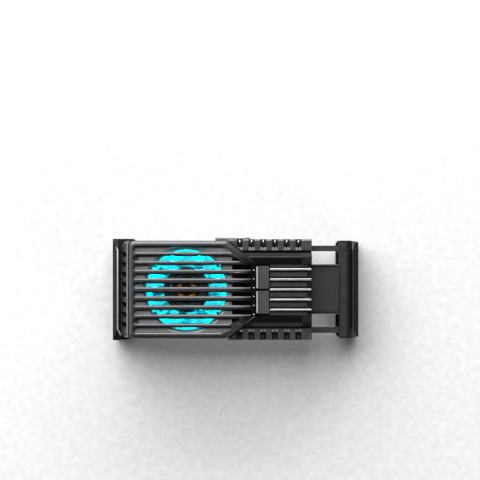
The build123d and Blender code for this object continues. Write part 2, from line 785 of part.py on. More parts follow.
with BuildPart() as front_cover:
    with BuildSketch(Plane.XY.offset(seam_z)):
        with BuildLine():
            Polyline(both_sides(crown_points), close=True)
        make_face()
    extrude(amount=top_z - seam_z)
    left_corners = front_cover.edges().filter_by(Axis.Z).group_by(Axis.X)[0]
    fillet(left_corners, radius=cover_corner_r)
    # The top bends down towards the badges
    with BuildSketch(Plane.XZ):
        with BuildLine():
            TangentArc((shoulder_x, top_z), (crown_end_x, top_z - crown_drop), tangent=(1, 0))
            Polyline(
                (crown_end_x, top_z - crown_drop),
                (crown_end_x, top_z + crown_drop),
                (shoulder_x, top_z + crown_drop),
                (shoulder_x, top_z),
            )
        make_face()
    extrude(amount=2 * cover_half, both=True, mode=Mode.SUBTRACT)
    outline = [
        e
        for e in front_cover.edges() - front_cover.edges().filter_by(Axis.Z)
        if e.center().Z > top_z - crown_drop
        and e.center().X < crown_end_x - near
        and not (abs(e.center().Y) < near and e.center().X > 0)
    ]
    fillet(outline, radius=bezel_r)
    add(spine_body.part)
    # Hollow under the crown and the spine
    with BuildSketch(Plane.XY.offset(seam_z)):
        with BuildLine():
            Polyline(both_sides(crown_cavity), close=True)
        make_face()
    extrude(amount=shroud_top - seam_z, mode=Mode.SUBTRACT)
    with BuildSketch(Plane.XY.offset(recess_z)):
        with Locations((cavity_x1 - spine_x0, 0)):
            Rectangle(2 * spine_x0, 2 * spine_in)
    extrude(amount=fan_top - recess_z, mode=Mode.SUBTRACT)
    with BuildSketch(Plane.XY.offset(shelf_z)):
        with Locations(((spine_x0 + body_right - end_wall_t) / 2, 0)):
            Rectangle(body_right - end_wall_t - spine_x0, 2 * spine_in)
    extrude(amount=deck_z - shelf_z, mode=Mode.SUBTRACT)
    # The left skirt stops higher, so that air reaches the vent wall
    with BuildSketch(Plane.XY.offset(seam_z)):
        with Locations((cover_left, 0)):
            Rectangle(2 * cover_wall, 2 * (cover_half - cover_corner_r))
    extrude(amount=left_seam_z - seam_z, mode=Mode.SUBTRACT)
    # Recess for the badges and the rib insert
    with BuildSketch(Plane.XY.offset(recess_z)):
        with Locations(((crown_end_x + body_right) / 2 + end_wall_t, 0)):
            Rectangle(body_right - crown_end_x + 2 * end_wall_t, 2 * recess_half)
    extrude(amount=top_z - recess_z, mode=Mode.SUBTRACT)
    # Bosses for the screws
    with BuildSketch(Plane.XY.offset(post_top)):
        with Locations(*cover_posts):
            Circle(post_r)
    extrude(amount=shroud_top - post_top)
    # Ten slots: the long ones run to the badges, the outer ones end at the shoulders
    with BuildSketch(Plane.XY.offset(shroud_top)):
        for row, end_x in enumerate(slot_ends):
            low = slot_low(row)
            high = slot_high(row)
            with Locations(((slot_left_x + (high - low) / 2 + end_x) / 2, (low + high) / 2)):
                Rectangle(end_x - slot_left_x - (high - low) / 2, high - low)
            with Locations((slot_left_x + (high - low) / 2, (low + high) / 2)):
                Circle((high - low) / 2)
            if end_x < cavity_x1:
                with BuildLine():
                    Polyline(
                        (end_x - slot_corner_run, high),
                        (end_x, high),
                        (end_x, high - slot_corner_rise),
                        close=True,
                    )
                make_face(mode=Mode.SUBTRACT)
        mirror(about=Plane.XZ)
    extrude(amount=slat_t, mode=Mode.SUBTRACT)
    # Beside the shroud the bars are deeper, over the deck of the spine
    with BuildSketch(Plane.XY.offset(fan_top)):
        for row, end_x in enumerate(slot_ends[: long_rows + 1]):
            with Locations(((spine_x0 + end_x) / 2, (slot_low(row) + slot_high(row)) / 2)):
                Rectangle(end_x - spine_x0, slot_high(row) - slot_low(row))
        mirror(about=Plane.XZ)
    extrude(amount=shroud_t, mode=Mode.SUBTRACT)
    with BuildSketch(Plane.XY.offset(post_top)):
        with Locations(*cover_posts):
            Circle(screw_r + thread_gap)
    extrude(amount=shroud_top - post_top - shroud_t, mode=Mode.SUBTRACT)
    with BuildSketch(Plane.XY.offset(deck_z)):
        with Locations((stop_post_x, 0)):
            Circle(screw_r + thread_gap)
    extrude(amount=deck_t - 2 * small_gap, mode=Mode.SUBTRACT)
    # Round tops of the bars, along both sides of each slot and round its left end
    slot_sides = [y for row in range(slot_rows) for y in (slot_low(row), slot_high(row))]
    bar_rims = [
        e
        for f in front_cover.faces()
        if f.center().Z > top_z - crown_drop and f.normal_at().Z > level_normal
        for e in f.edges()
        if slot_left_x - near < e.center().X < cavity_x1 - near
        and abs((e @ 0).X - (e @ 1).X) > near
        and abs((e @ 0).Y - (e @ 1).Y) < near
        and any(abs(abs(e.center().Y) - side) < near for side in slot_sides)
    ]
    fillet(bar_rims, radius=bar_round)
front_cover.part.label = "front_cover"
export_step(front_cover.part, "parts/front_cover.step")

# Rib insert: five tall ribs with lower bars between them

with BuildPart() as rib_insert:
    with BuildSketch(Plane.XY.offset(recess_z)):
        with Locations(((rib_x0 + rib_x1) / 2, 0)):
            Rectangle(rib_x1 - rib_x0, 2 * (recess_half - small_gap))
    extrude(amount=rib_base_t)
    with BuildSketch(Plane.XY.offset(recess_z + rib_base_t)):
        with Locations(((rib_x0 + rib_x1) / 2, 0)):
            with GridLocations(1, rib_pitch, 1, rib_n):
                Rectangle(rib_x1 - rib_x0, rib_w)
    extrude(amount=rib_h)
    rib_rims = rib_insert.faces().filter_by(Axis.Z).group_by(Axis.Z)[-1].edges()
    chamfer(rib_rims, length=rib_edge)
    with BuildSketch(Plane.XY.offset(recess_z + rib_base_t)):
        with Locations(((rib_x0 + low_bar_x1) / 2, 0)):
            with GridLocations(1, rib_pitch, 1, rib_n - 1):
                Rectangle(low_bar_x1 - rib_x0, low_bar_w)
            for side in (1, -1):
                with Locations((0, side * (recess_half - small_gap - low_bar_w / 3))):
                    Rectangle(low_bar_x1 - rib_x0, 2 * low_bar_w / 3)
    extrude(amount=low_bar_h)
rib_insert.part.label = "rib_insert"
export_step(rib_insert.part, "parts/rib_insert.step")


def badge_plate(side):
    """One bare plate on the spine, bevelled along its left edge; side is 1 or -1."""
    with BuildPart() as plate:
        with BuildSketch(Plane.XY.offset(recess_z)):
            with Locations(((badge_x0 + badge_x1) / 2, side * (badge_gap + badge_h) / 2)):
                Rectangle(badge_x1 - badge_x0, badge_h)
        extrude(amount=badge_top - recess_z)
        top = plate.faces().sort_by(Axis.Z)[-1]
        chamfer(top.edges().sort_by(Axis.X)[0], length=badge_bevel)
    return plate.part


badge_upper = badge_plate(1)
badge_upper.label = "badge_upper"
export_step(badge_upper, "parts/badge_upper.step")
badge_lower = badge_plate(-1)
badge_lower.label = "badge_lower"
export_step(badge_lower, "parts/badge_lower.step")

# Shroud plate under the grille, with the round mouth of the fan

with BuildPart() as fan_shroud:
    with BuildSketch(Plane.XY.offset(fan_top)):
        with BuildLine():
            Polyline(both_sides(shroud_points), close=True)
        make_face()
        Circle(fan_mouth_r, mode=Mode.SUBTRACT)
        with Locations(*cover_posts):
            Circle(post_r + small_gap, mode=Mode.SUBTRACT)
    extrude(amount=shroud_t)
    # Rolled lip of the mouth
    with BuildSketch(Plane.XZ):
        with BuildLine():
            TangentArc((mouth_top_r, shroud_top), (fan_mouth_r, fan_top), tangent=(-1, 0))
            Polyline(
                (fan_mouth_r, fan_top),
                (0, fan_top),
                (0, shroud_top),
                (mouth_top_r, shroud_top),
            )
        make_face()
    revolve(axis=Axis.Z, mode=Mode.SUBTRACT)
    with BuildSketch(Plane.XY.offset(fan_top)):
        with GridLocations(2 * fan_screw_xy, 2 * fan_screw_xy, 2, 2):
            Circle(screw_r + thread_gap)
    extrude(amount=shroud_t - 2 * small_gap, mode=Mode.SUBTRACT)
fan_shroud.part.label = "fan_shroud"
export_step(fan_shroud.part, "parts/fan_shroud.step")

# Fan frame with its motor seat, struts and flange

with BuildPart() as fan_frame:
    with BuildSketch(Plane.XY.offset(fan_z)):
        RectangleRounded(2 * fan_half, 2 * fan_half, frame_corner_r)
        Circle(fan_bore_r, mode=Mode.SUBTRACT)
    extrude(amount=fan_t)
    with BuildSketch(Plane.XY.offset(fan_z)):
        Circle(fan_bore_r + small_gap)
        Circle(fan_flange_r, mode=Mode.SUBTRACT)
    extrude(amount=fan_flange_t)
    with BuildSketch(Plane.XY.offset(fan_z)):
        Circle(motor_r)
        with PolarLocations(0, 4, start_angle=45):
            with Locations((fan_flange_r / 2 + small_gap, 0)):
                Rectangle(fan_flange_r, strut_w)
    extrude(amount=fan_floor_t)
    with BuildSketch(Plane.XY.offset(fan_z + fan_floor_t)):
        Circle(motor_tube_r)
    extrude(amount=motor_tube_h)
    with BuildSketch(Plane.XY.offset(sleeve_z)):
        Circle(sleeve_r + thread_gap)
    extrude(amount=fan_t, mode=Mode.SUBTRACT)
    with BuildSketch(Plane.XY.offset(fan_z)):
        with GridLocations(2 * fan_screw_xy, 2 * fan_screw_xy, 2, 2):
            Circle(head_r + screw_gap)
    extrude(amount=head_t + screw_gap, mode=Mode.SUBTRACT)
    with BuildSketch(Plane.XY.offset(fan_z)):
        with GridLocations(2 * fan_screw_xy, 2 * fan_screw_xy, 2, 2):
            Circle(screw_r + screw_gap)
    extrude(amount=fan_t, mode=Mode.SUBTRACT)
fan_frame.part.label = "fan_frame"
export_step(fan_frame.part, "parts/fan_frame.step")


def screws(places, head_z, shank_z, head_at=1):
    """Pan-head screws along Z; head_at 1 puts the head on top, -1 below."""
    with BuildPart() as group:
        with BuildSketch(Plane.XY.offset(min(head_z, head_z + head_at * head_t))):
            with Locations(*places):
                Circle(head_r)
        extrude(amount=head_t)
        drive = Plane.XY.offset(head_z + head_at * (head_t - drive_d / 2))
        with BuildSketch(drive):
            with Locations(*places):
                Rectangle(drive_l, drive_w)
                Rectangle(drive_w, drive_l)
        extrude(amount=drive_d / 2, both=True, mode=Mode.SUBTRACT)
        with BuildSketch(Plane.XY.offset(min(head_z, shank_z))):
            with Locations(*places):
                Circle(screw_r)
        extrude(amount=abs(head_z - shank_z))
    return group.part


fan_corners = [(sx * fan_screw_xy, sy * fan_screw_xy) for sx in (1, -1) for sy in (1, -1)]
fan_screws = screws(fan_corners, fan_z + head_t + screw_gap / 2, shroud_top - 3 * small_gap, -1)
fan_screws.label = "fan_screws"
export_step(fan_screws, "parts/fan_screws.step")
cover_screws = screws(
    cover_posts + [(stop_post_x, 0)], floor_z + head_t + screw_gap / 2, deck_z + deck_t / 2, -1
)
cover_screws.label = "cover_screws"
export_step(cover_screws, "parts/cover_screws.step")

# Motor: sleeve bearing, stator core and its coils

with BuildPart() as bearing_sleeve:
    with BuildSketch(Plane.XY.offset(sleeve_z)):
        Circle(sleeve_r)
        Circle(shaft_r + bearing_gap, mode=Mode.SUBTRACT)
    extrude(amount=sleeve_h)
bearing_sleeve.part.label = "bearing_sleeve"
export_step(bearing_sleeve.part, "parts/bearing_sleeve.step")

with BuildPart() as stator_core:
    with BuildSketch(Plane.XY.offset(core_z)):
        Circle(core_hub_r)
        with PolarLocations(0, 4):
            with Locations((shoe_in_r / 2, 0)):
                Rectangle(shoe_in_r + small_gap, pole_w)
        Circle(motor_tube_r + thread_gap, mode=Mode.SUBTRACT)
    extrude(amount=core_h)
    with BuildSketch(Plane.XY.offset(core_z)):
        Circle(shoe_out_r)
        Circle(shoe_in_r, mode=Mode.SUBTRACT)
        with PolarLocations(0, 4, start_angle=45):
            with Locations((shoe_out_r, 0)):
                Rectangle(shoe_out_r, shoe_gap, mode=Mode.SUBTRACT)
    extrude(amount=core_h)
stator_core.part.label = "stator_core"
export_step(stator_core.part, "parts/stator_core.step")

with BuildPart() as stator_coils:
    with BuildSketch(Plane.XY.offset(core_z - coil_over)):
        with PolarLocations(0, 4):
            with Locations(((core_hub_r + shoe_in_r) / 2, 0)):
                RectangleRounded(coil_w, pole_w + 2 * coil_t, coil_t / 2)
    extrude(amount=core_h + 2 * coil_over)
    with BuildSketch(Plane.XY.offset(core_z - thread_gap)):
        with PolarLocations(0, 4):
            with Locations(((core_hub_r + shoe_in_r) / 2, 0)):
                Rectangle(2 * coil_w, pole_w + 2 * thread_gap)
    extrude(amount=core_h + 2 * thread_gap, mode=Mode.SUBTRACT)
stator_coils.part.label = "stator_coils"
export_step(stator_coils.part, "parts/stator_coils.step")

# Ring board with eight lights under the blades

with BuildPart() as light_ring:
    with BuildSketch(Plane.XY.offset(fan_z + fan_flange_t)):
        Circle(ring_board_out)
        Circle(ring_board_in, mode=Mode.SUBTRACT)
    extrude(amount=ring_board_t)
    with BuildSketch(Plane.XY.offset(fan_z + fan_flange_t + ring_board_t)):
        with PolarLocations((ring_board_in + ring_board_out) / 2, light_n):
            Rectangle(light_w, light_l)
    extrude(amount=light_t)
light_ring.part.label = "light_ring"
export_step(light_ring.part, "parts/light_ring.step")

# Impeller: cup hub with two windows and nine twisted blades


def blade_plane(radius, turn):
    """Plane across a blade at a radius, turned round the fan's axis."""
    return Plane(
        origin=(radius * cos(radians(turn)), radius * sin(radians(turn)), blade_z),
        x_dir=(-sin(radians(turn)), cos(radians(turn)), 0),
        z_dir=(cos(radians(turn)), sin(radians(turn)), 0),
    )


with BuildPart() as blade:
    for radius, turn, chord, pitch in blade_sections:
        with BuildSketch(blade_plane(radius, turn)):
            SlotOverall(chord, blade_t, rotation=pitch)
    loft()

with BuildPart() as fan_impeller:
    with BuildSketch(Plane.XY.offset(hub_z)):
        Circle(hub_r)
    extrude(amount=hub_top - hub_z)
    fillet(fan_impeller.edges().filter_by(GeomType.CIRCLE).sort_by(Axis.Z)[-1], radius=hub_round)
    with PolarLocations(0, blade_n):
        add(blade.part)
    with BuildSketch(Plane.XY.offset(hub_z)):
        Circle(hub_r - hub_wall)
    extrude(amount=hub_top - hub_top_t - hub_z, mode=Mode.SUBTRACT)
    with BuildSketch(Plane.XY.offset(hub_z)):
        Circle(bushing_r + thread_gap)
        with PolarLocations(hub_window_at, 2, start_angle=hub_window_turn):
            SlotOverall(hub_window_l, hub_window_w, rotation=90)
    extrude(amount=hub_top - hub_z, mode=Mode.SUBTRACT)
fan_impeller.part.label = "fan_impeller"
export_step(fan_impeller.part, "parts/fan_impeller.step")

with BuildPart() as rotor_magnet:
    with BuildSketch(Plane.XY.offset(hub_z + hub_sink)):
        Circle(magnet_out_r)
        Circle(magnet_out_r - magnet_t, mode=Mode.SUBTRACT)
    extrude(amount=hub_top - hub_top_t - hub_z - 2 * hub_sink)
rotor_magnet.part.label = "rotor_magnet"
export_step(rotor_magnet.part, "parts/rotor_magnet.step")

with BuildPart() as hub_bushing:
    with BuildSketch(Plane.XY.offset(bushing_z)):
        Circle(bushing_r)
        Circle(shaft_r + thread_gap, mode=Mode.SUBTRACT)
    extrude(amount=bushing_h)
    with BuildSketch(Plane.XY.offset(bushing_z + bushing_h - bushing_well)):
        Circle(bushing_well_r)
    extrude(amount=bushing_well, mode=Mode.SUBTRACT)
hub_bushing.part.label = "hub_bushing"
export_step(hub_bushing.part, "parts/hub_bushing.step")

with BuildPart() as fan_shaft:
    with BuildSketch(Plane.XY.offset(sleeve_z + bearing_gap)):
        Circle(shaft_r)
    extrude(amount=bushing_z + bushing_h - bushing_well - sleeve_z)
    chamfer(fan_shaft.edges().filter_by(GeomType.CIRCLE), length=small_gap)
fan_shaft.part.label = "fan_shaft"
export_step(fan_shaft.part, "parts/fan_shaft.step")

# Cooling stack: pad, cold plate, gasket, module and heatsink

with BuildPart() as contact_pad:
    with BuildSketch(Plane.XY):
        RectangleRounded(plate_boss_x - pad_inset, plate_boss_y - pad_inset, window_r)
    extrude(amount=contact_t)
contact_pad.part.label = "contact_pad"
export_step(contact_pad.part, "parts/contact_pad.step")

with BuildPart() as cold_plate:
    with BuildSketch(Plane.XY.offset(contact_t)):
        RectangleRounded(plate_boss_x, plate_boss_y, window_r)
    extrude(amount=floor_top - contact_t)
    with BuildSketch(Plane.XY.offset(floor_top)):
        Rectangle(flange_x, flange_y)
    extrude(amount=flange_t)
    with BuildSketch(Plane.XY.offset(floor_top - floor_t / 2)):
        with Locations(*sink_screw_places):
            Circle(screw_r + thread_gap)
    extrude(amount=floor_t, mode=Mode.SUBTRACT)
cold_plate.part.label = "cold_plate"
export_step(cold_plate.part, "parts/cold_plate.step")

with BuildPart() as cold_ceramic:
    with BuildSketch(Plane.XY.offset(flange_top)):
        Rectangle(module_side, module_side)
    extrude(amount=ceramic_t)
cold_ceramic.part.label = "cold_ceramic"
export_step(cold_ceramic.part, "parts/cold_ceramic.step")

with BuildPart() as module_pellets:
    with BuildSketch(Plane.XY.offset(cold_top)):
        with GridLocations(pellet_pitch, pellet_pitch, pellet_rows, pellet_rows):
            Rectangle(pellet_side, pellet_side)
    extrude(amount=pellet_h)
module_pellets.part.label = "module_pellets"
export_step(module_pellets.part, "parts/module_pellets.step")

with BuildPart() as hot_ceramic:
    with BuildSketch(Plane.XY.offset(pellet_top)):
        Rectangle(module_side, module_side)
    extrude(amount=ceramic_t)
hot_ceramic.part.label = "hot_ceramic"
export_step(hot_ceramic.part, "parts/hot_ceramic.step")

with BuildPart() as foam_gasket:
    with BuildSketch(Plane.XY.offset(flange_top)):
        Rectangle(flange_y, flange_y)
        Rectangle(module_side + 2 * gasket_gap, module_side + 2 * gasket_gap, mode=Mode.SUBTRACT)
    extrude(amount=hot_top - flange_top)
    with BuildSketch(Plane.YZ.offset(module_side / 2)):
        with Locations(*module_lead_places):
            Circle(lead_r + small_gap)
    extrude(amount=flange_y / 2 - module_side / 2, mode=Mode.SUBTRACT)
foam_gasket.part.label = "foam_gasket"
export_step(foam_gasket.part, "parts/foam_gasket.step")

with BuildPart() as heatsink:
    with BuildSketch(Plane.XY.offset(hot_top)):
        with Locations(((sink_x0 + sink_x1) / 2, 0)):
            Rectangle(sink_x1 - sink_x0, 2 * sink_half)
        with Locations(((sink_x1 + sink_tongue_x) / 2, 0)):
            Rectangle(sink_tongue_x - sink_x1, 2 * sink_tongue_half)
    extrude(amount=sink_base_t)
    with BuildSketch(Plane.XY.offset(sink_top)):
        with Locations(((sink_x0 + sink_x1) / 2, 0)):
            with GridLocations(1, fin_pitch, 1, 2 * fin_side_n + 1):
                Rectangle(sink_x1 - sink_x0, fin_t)
        with Locations(*sink_screw_places):
            Circle(head_r + 2 * screw_gap, mode=Mode.SUBTRACT)
    extrude(amount=fin_h)
    with BuildSketch(Plane.XY.offset(hot_top)):
        with Locations(*sink_screw_places):
            Circle(screw_r + screw_gap)
    extrude(amount=sink_base_t, mode=Mode.SUBTRACT)
heatsink.part.label = "heatsink"
export_step(heatsink.part, "parts/heatsink.step")

heatsink_screws = screws(sink_screw_places, sink_top, floor_top - floor_t / 2 + small_gap, 1)
heatsink_screws.label = "heatsink_screws"
export_step(heatsink_screws, "parts/heatsink_screws.step")

# Control board, its parts and the power inlet

with BuildPart() as control_board:
    with BuildSketch(Plane.XY.offset(board_z)):
        with Locations(((board_x0 + board_x1) / 2, 0)):
            Rectangle(board_x1 - board_x0, 2 * board_half)
        with Locations(((board_tab_x + board_x0) / 2, (board_tab_y + board_half) / 2)):
            Rectangle(board_x0 - board_tab_x, board_half - board_tab_y)
    extrude(amount=board_t)
control_board.part.label = "control_board"
export_step(control_board.part, "parts/control_board.step")

with BuildPart() as board_parts:
    for x, y, length, width, height in board_blocks:
        with BuildSketch(Plane.XY.offset(board_top)):
            with Locations((x, y)):
                RectangleRounded(length, width, block_round)
        extrude(amount=height)
    with BuildSketch(Plane.XY.offset(board_top)):
        with Locations(*capacitor_places):
            Circle(capacitor_r)
    extrude(amount=capacitor_h)
board_parts.part.label = "board_parts"
export_step(board_parts.part, "parts/board_parts.step")

inlet_plane = Plane(origin=(socket_x, socket_y0, inlet_z), x_dir=(1, 0, 0), z_dir=(0, 1, 0))

with BuildPart() as inlet_socket:
    with BuildSketch(inlet_plane):
        SlotOverall(socket_w, socket_h)
    extrude(amount=socket_y1 - socket_y0)
    with BuildSketch(inlet_plane.offset(2 * socket_wall)):
        SlotOverall(socket_w - 2 * socket_wall, socket_h - 2 * socket_wall)
    extrude(amount=socket_y1 - socket_y0, mode=Mode.SUBTRACT)
inlet_socket.part.label = "inlet_socket"
export_step(inlet_socket.part, "parts/inlet_socket.step")

with BuildPart() as inlet_tongue:
    with BuildSketch(inlet_plane.offset(2 * socket_wall)):
        Rectangle(tongue_w, tongue_t)
    extrude(amount=socket_y1 - socket_y0 - tongue_back)
inlet_tongue.part.label = "inlet_tongue"
export_step(inlet_tongue.part, "parts/inlet_tongue.step")

surround_plane = Plane(origin=(socket_x, flank_half, inlet_z), x_dir=(1, 0, 0), z_dir=(0, 1, 0))

with BuildPart() as inlet_surround:
    with BuildSketch(surround_plane):
        RectangleRounded(surround_w, surround_h, surround_r)
        SlotOverall(inlet_w, inlet_h, mode=Mode.SUBTRACT)
    extrude(amount=surround_t)
    front_rims = inlet_surround.faces().sort_by(Axis.Y)[-1].edges()
    chamfer(front_rims, length=surround_t / 3)
inlet_surround.part.label = "inlet_surround"
export_step(inlet_surround.part, "parts/inlet_surround.step")


def lead(points, radii):
    """One wire along straight runs joined by arcs."""
    with BuildPart() as wire:
        with BuildLine() as path:
            FilletPolyline(points, radius=radii)
        with BuildSketch(Plane(origin=points[0], z_dir=path.line @ 0 - path.line @ 0.01)):
            Circle(lead_r)
        sweep(path=path.line)
    return wire.part


# Slide arm: middle plate, two rails, cross bar and the ears that the springs pull on

with BuildPart() as slide_arm:
    with BuildSketch(Plane.XY.offset(arm_z)):
        with Locations(((crossbar_x0 + crossbar_x1) / 2, 0)):
            Rectangle(crossbar_x1 - crossbar_x0, 2 * rail_out)
        for side in (1, -1):
            with Locations(((rail_inner_x + crossbar_x0) / 2, side * (rail_in + rail_out) / 2)):
                Rectangle(crossbar_x0 - rail_inner_x, rail_w)
    extrude(amount=rail_h)
    with BuildSketch(Plane.XY.offset(arm_z)):
        with Locations(((plate_inner_x + crossbar_x0) / 2, 0)):
            Rectangle(crossbar_x0 - plate_inner_x, 2 * plate_half)
    extrude(amount=plate_t)
    with BuildSketch(Plane.XY.offset(plate_top)):
        for side in (1, -1):
            with Locations(((plate_inner_x + crossbar_x0) / 2, side * (plate_half - plate_lip_w / 2))):
                Rectangle(crossbar_x0 - plate_inner_x, plate_lip_w)
    extrude(amount=plate_lip_h)
    with BuildSketch(Plane.XY.offset(plate_top - plate_groove_d)):
        for side in (1, -1):
            with Locations(
                ((plate_inner_x + crossbar_x0) / 2, side * (plate_half - plate_lip_w - plate_groove_w / 2))
            ):
                Rectangle(crossbar_x0 - plate_inner_x, plate_groove_w)
    extrude(amount=plate_groove_d, mode=Mode.SUBTRACT)
    with BuildSketch(Plane.XY.offset(arm_z)):
        with Locations((ear_x, 0)):
            Rectangle(ear_w, 2 * (spring_y + ear_reach))
    extrude(amount=ear_top - arm_z)
    with BuildSketch(Plane.XY.offset(ear_top)):
        with Locations((ear_x, spring_y), (ear_x, -spring_y)):
            Circle(peg_r)
    extrude(amount=peg_top - ear_top)
    # Slot that lets the stop post through and ends the travel
    with BuildSketch(Plane.XY.offset(arm_z)):
        with Locations(((slot_stop_x0 + slot_stop_x1) / 2, 0)):
            SlotOverall(slot_stop_x1 - slot_stop_x0, 2 * (post_r + slide_gap))
    extrude(amount=plate_t, mode=Mode.SUBTRACT)
    with BuildSketch(Plane.XY.offset(arm_z)):
        with Locations(*moving_screws):
            Circle(screw_r + thread_gap)
    extrude(amount=rail_h, mode=Mode.SUBTRACT)
slide_arm.part.label = "slide_arm"
export_step(slide_arm.part, "parts/slide_arm.step")

# Springs: close-wound bodies with an eye round each peg


def spring_body(side):
    """One extension spring, its turns drawn as a grooved round body."""
    with BuildPart() as spring:
        x0 = anchor_x + eye_r
        x1 = ear_x - eye_r
        turn = (x1 - x0) / spring_turns
        profile = [(x0, spring_z)]
        for i in range(spring_turns):
            profile += [(x0 + i * turn, spring_z + spring_r - spring_wire)]
            profile += [(x0 + (i + 0.5) * turn, spring_z + spring_r)]
        profile += [(x1, spring_z + spring_r - spring_wire), (x1, spring_z)]
        with BuildSketch(Plane.XZ.offset(-side * spring_y)):
            with BuildLine():
                Polyline(profile, close=True)
            make_face()
        revolve(axis=Axis((0, side * spring_y, spring_z), (1, 0, 0)))
        with Locations((anchor_x, side * spring_y, spring_z), (ear_x, side * spring_y, spring_z)):
            Torus(eye_r, eye_wire_r)
    return spring.part


spring_upper = spring_body(1)
spring_upper.label = "spring_upper"
export_step(spring_upper, "parts/spring_upper.step")
spring_lower = spring_body(-1)
spring_lower.label = "spring_lower"
export_step(spring_lower, "parts/spring_lower.step")

# Fixed jaw with its bevelled, mitred rim

with BuildPart() as fixed_jaw:
    with BuildSketch(Plane.XZ):
        with BuildLine():
            Polyline(
                (fixed_pad_x + lip_reach, foot_z),
                (fixed_pad_x + lip_reach, -jaw_drop),
                (fixed_pad_x - pad_t, -jaw_drop),
                (fixed_pad_x - pad_t, floor_z),
                (body_left, floor_z),
                (body_left, vent_foot - rim_t),
                (rim_in, vent_foot - rim_t),
                (rim_in, rim_z),
                (rim_in - rim_t, rim_z),
                (fixed_out_x, rim_z - rim_bevel_z),
                (fixed_out_x, foot_z + foot_bevel),
                (fixed_out_x + foot_bevel, foot_z),
                close=True,
            )
        make_face()
    extrude(amount=fixed_jaw_half, both=True)
    with BuildSketch(Plane.YZ.offset(fixed_out_x)):
        with BuildLine():
            Polyline(
                (mitre_y, rim_z),
                (fixed_jaw_half, rim_z - rim_bevel_z),
                (fixed_jaw_half, rim_z),
                close=True,
            )
        make_face()
        mirror(about=Plane.YZ)
    extrude(amount=2 * jaw_wall_out, mode=Mode.SUBTRACT)
    lip_corners = [
        e
        for e in fixed_jaw.edges().filter_by(Axis.Z)
        if e.center().X > fixed_pad_x and e.center().Z < -jaw_drop
    ]
    fillet(lip_corners, radius=lip_corner_r)
    with BuildSketch(Plane.YZ.offset(body_left)):
        with Locations((jaw_screw_y, jaw_screw_z), (-jaw_screw_y, jaw_screw_z)):
            Circle(screw_r + thread_gap)
    extrude(amount=small_gap - jaw_wall_out + rim_t, mode=Mode.SUBTRACT)
fixed_jaw.part.label = "fixed_jaw"
export_step(fixed_jaw.part, "parts/fixed_jaw.step")

with BuildPart() as fixed_jaw_screws:
    with BuildSketch(Plane.YZ.offset(inner_left)):
        with Locations((jaw_screw_y, jaw_screw_z), (-jaw_screw_y, jaw_screw_z)):
            Circle(head_r)
    extrude(amount=head_t)
    with BuildSketch(Plane.YZ.offset(inner_left)):
        with Locations((jaw_screw_y, jaw_screw_z), (-jaw_screw_y, jaw_screw_z)):
            Circle(screw_r)
    extrude(amount=-wall - jaw_wall_out + rim_t + 2 * small_gap)
fixed_jaw_screws.part.label = "fixed_jaw_screws"
export_step(fixed_jaw_screws.part, "parts/fixed_jaw_screws.step")

# Moving jaw, its cap and screws

with BuildPart() as moving_jaw:
    with BuildSketch(Plane.XZ):
        with BuildLine():
            Polyline(
                (moving_pad_x - lip_reach, foot_z),
                (moving_pad_x - lip_reach, -jaw_drop),
                (moving_pad_x + pad_t, -jaw_drop),
                (moving_pad_x + pad_t, arm_z),
                (crossbar_x1, arm_z),
                (crossbar_x1, rail_top),
                (cap_x0 + cap_lead, rail_top),
                (cap_x0 + cap_lead, ledge_z),
                (cap_x1 + small_gap, ledge_z),
                (cap_x1 + small_gap, moving_rim_z),
                (cap_x1 + small_gap + rim_t, moving_rim_z),
                (moving_out_x - jaw_edge, moving_rim_z - moving_bevel_z),
                (moving_out_x, moving_rim_z - moving_bevel_z - jaw_edge),
                (moving_out_x, foot_z + foot_bevel),
                (moving_out_x - foot_bevel, foot_z),
                close=True,
            )
        make_face()
    extrude(amount=moving_jaw_half, both=True)
    with BuildSketch(Plane.YZ.offset(cap_x1)):
        with BuildLine():
            Polyline(
                (mitre_y, moving_rim_z),
                (moving_jaw_half, moving_rim_z - moving_bevel_z),
                (moving_jaw_half, moving_rim_z),
                close=True,
            )
        make_face()
        mirror(about=Plane.YZ)
    extrude(amount=moving_out_x - cap_x1, mode=Mode.SUBTRACT)
    with BuildSketch(Plane.XY.offset(foot_z)):
        with BuildLine():
            Polyline(
                (cap_x1, moving_jaw_half),
                (moving_out_x, moving_jaw_half - moving_taper),
                (moving_out_x, moving_jaw_half),
                close=True,
            )
        make_face()
        mirror(about=Plane.XZ)
    extrude(amount=moving_rim_z - foot_z, mode=Mode.SUBTRACT)
    moving_lip_corners = [
        e
        for e in moving_jaw.edges().filter_by(Axis.Z)
        if e.center().X < moving_pad_x and e.center().Z < -jaw_drop
    ]
    fillet(moving_lip_corners, radius=lip_corner_r)
    with BuildSketch(Plane.XY.offset(rail_top)):
        with Locations(*moving_screws):
            Circle(screw_r + screw_gap)
    extrude(amount=ledge_t, mode=Mode.SUBTRACT)
moving_jaw.part.label = "moving_jaw"
export_step(moving_jaw.part, "parts/moving_jaw.step")

jaw_screws = screws(moving_screws, ledge_z, arm_z + small_gap, 1)
jaw_screws.label = "jaw_screws"
export_step(jaw_screws, "parts/jaw_screws.step")

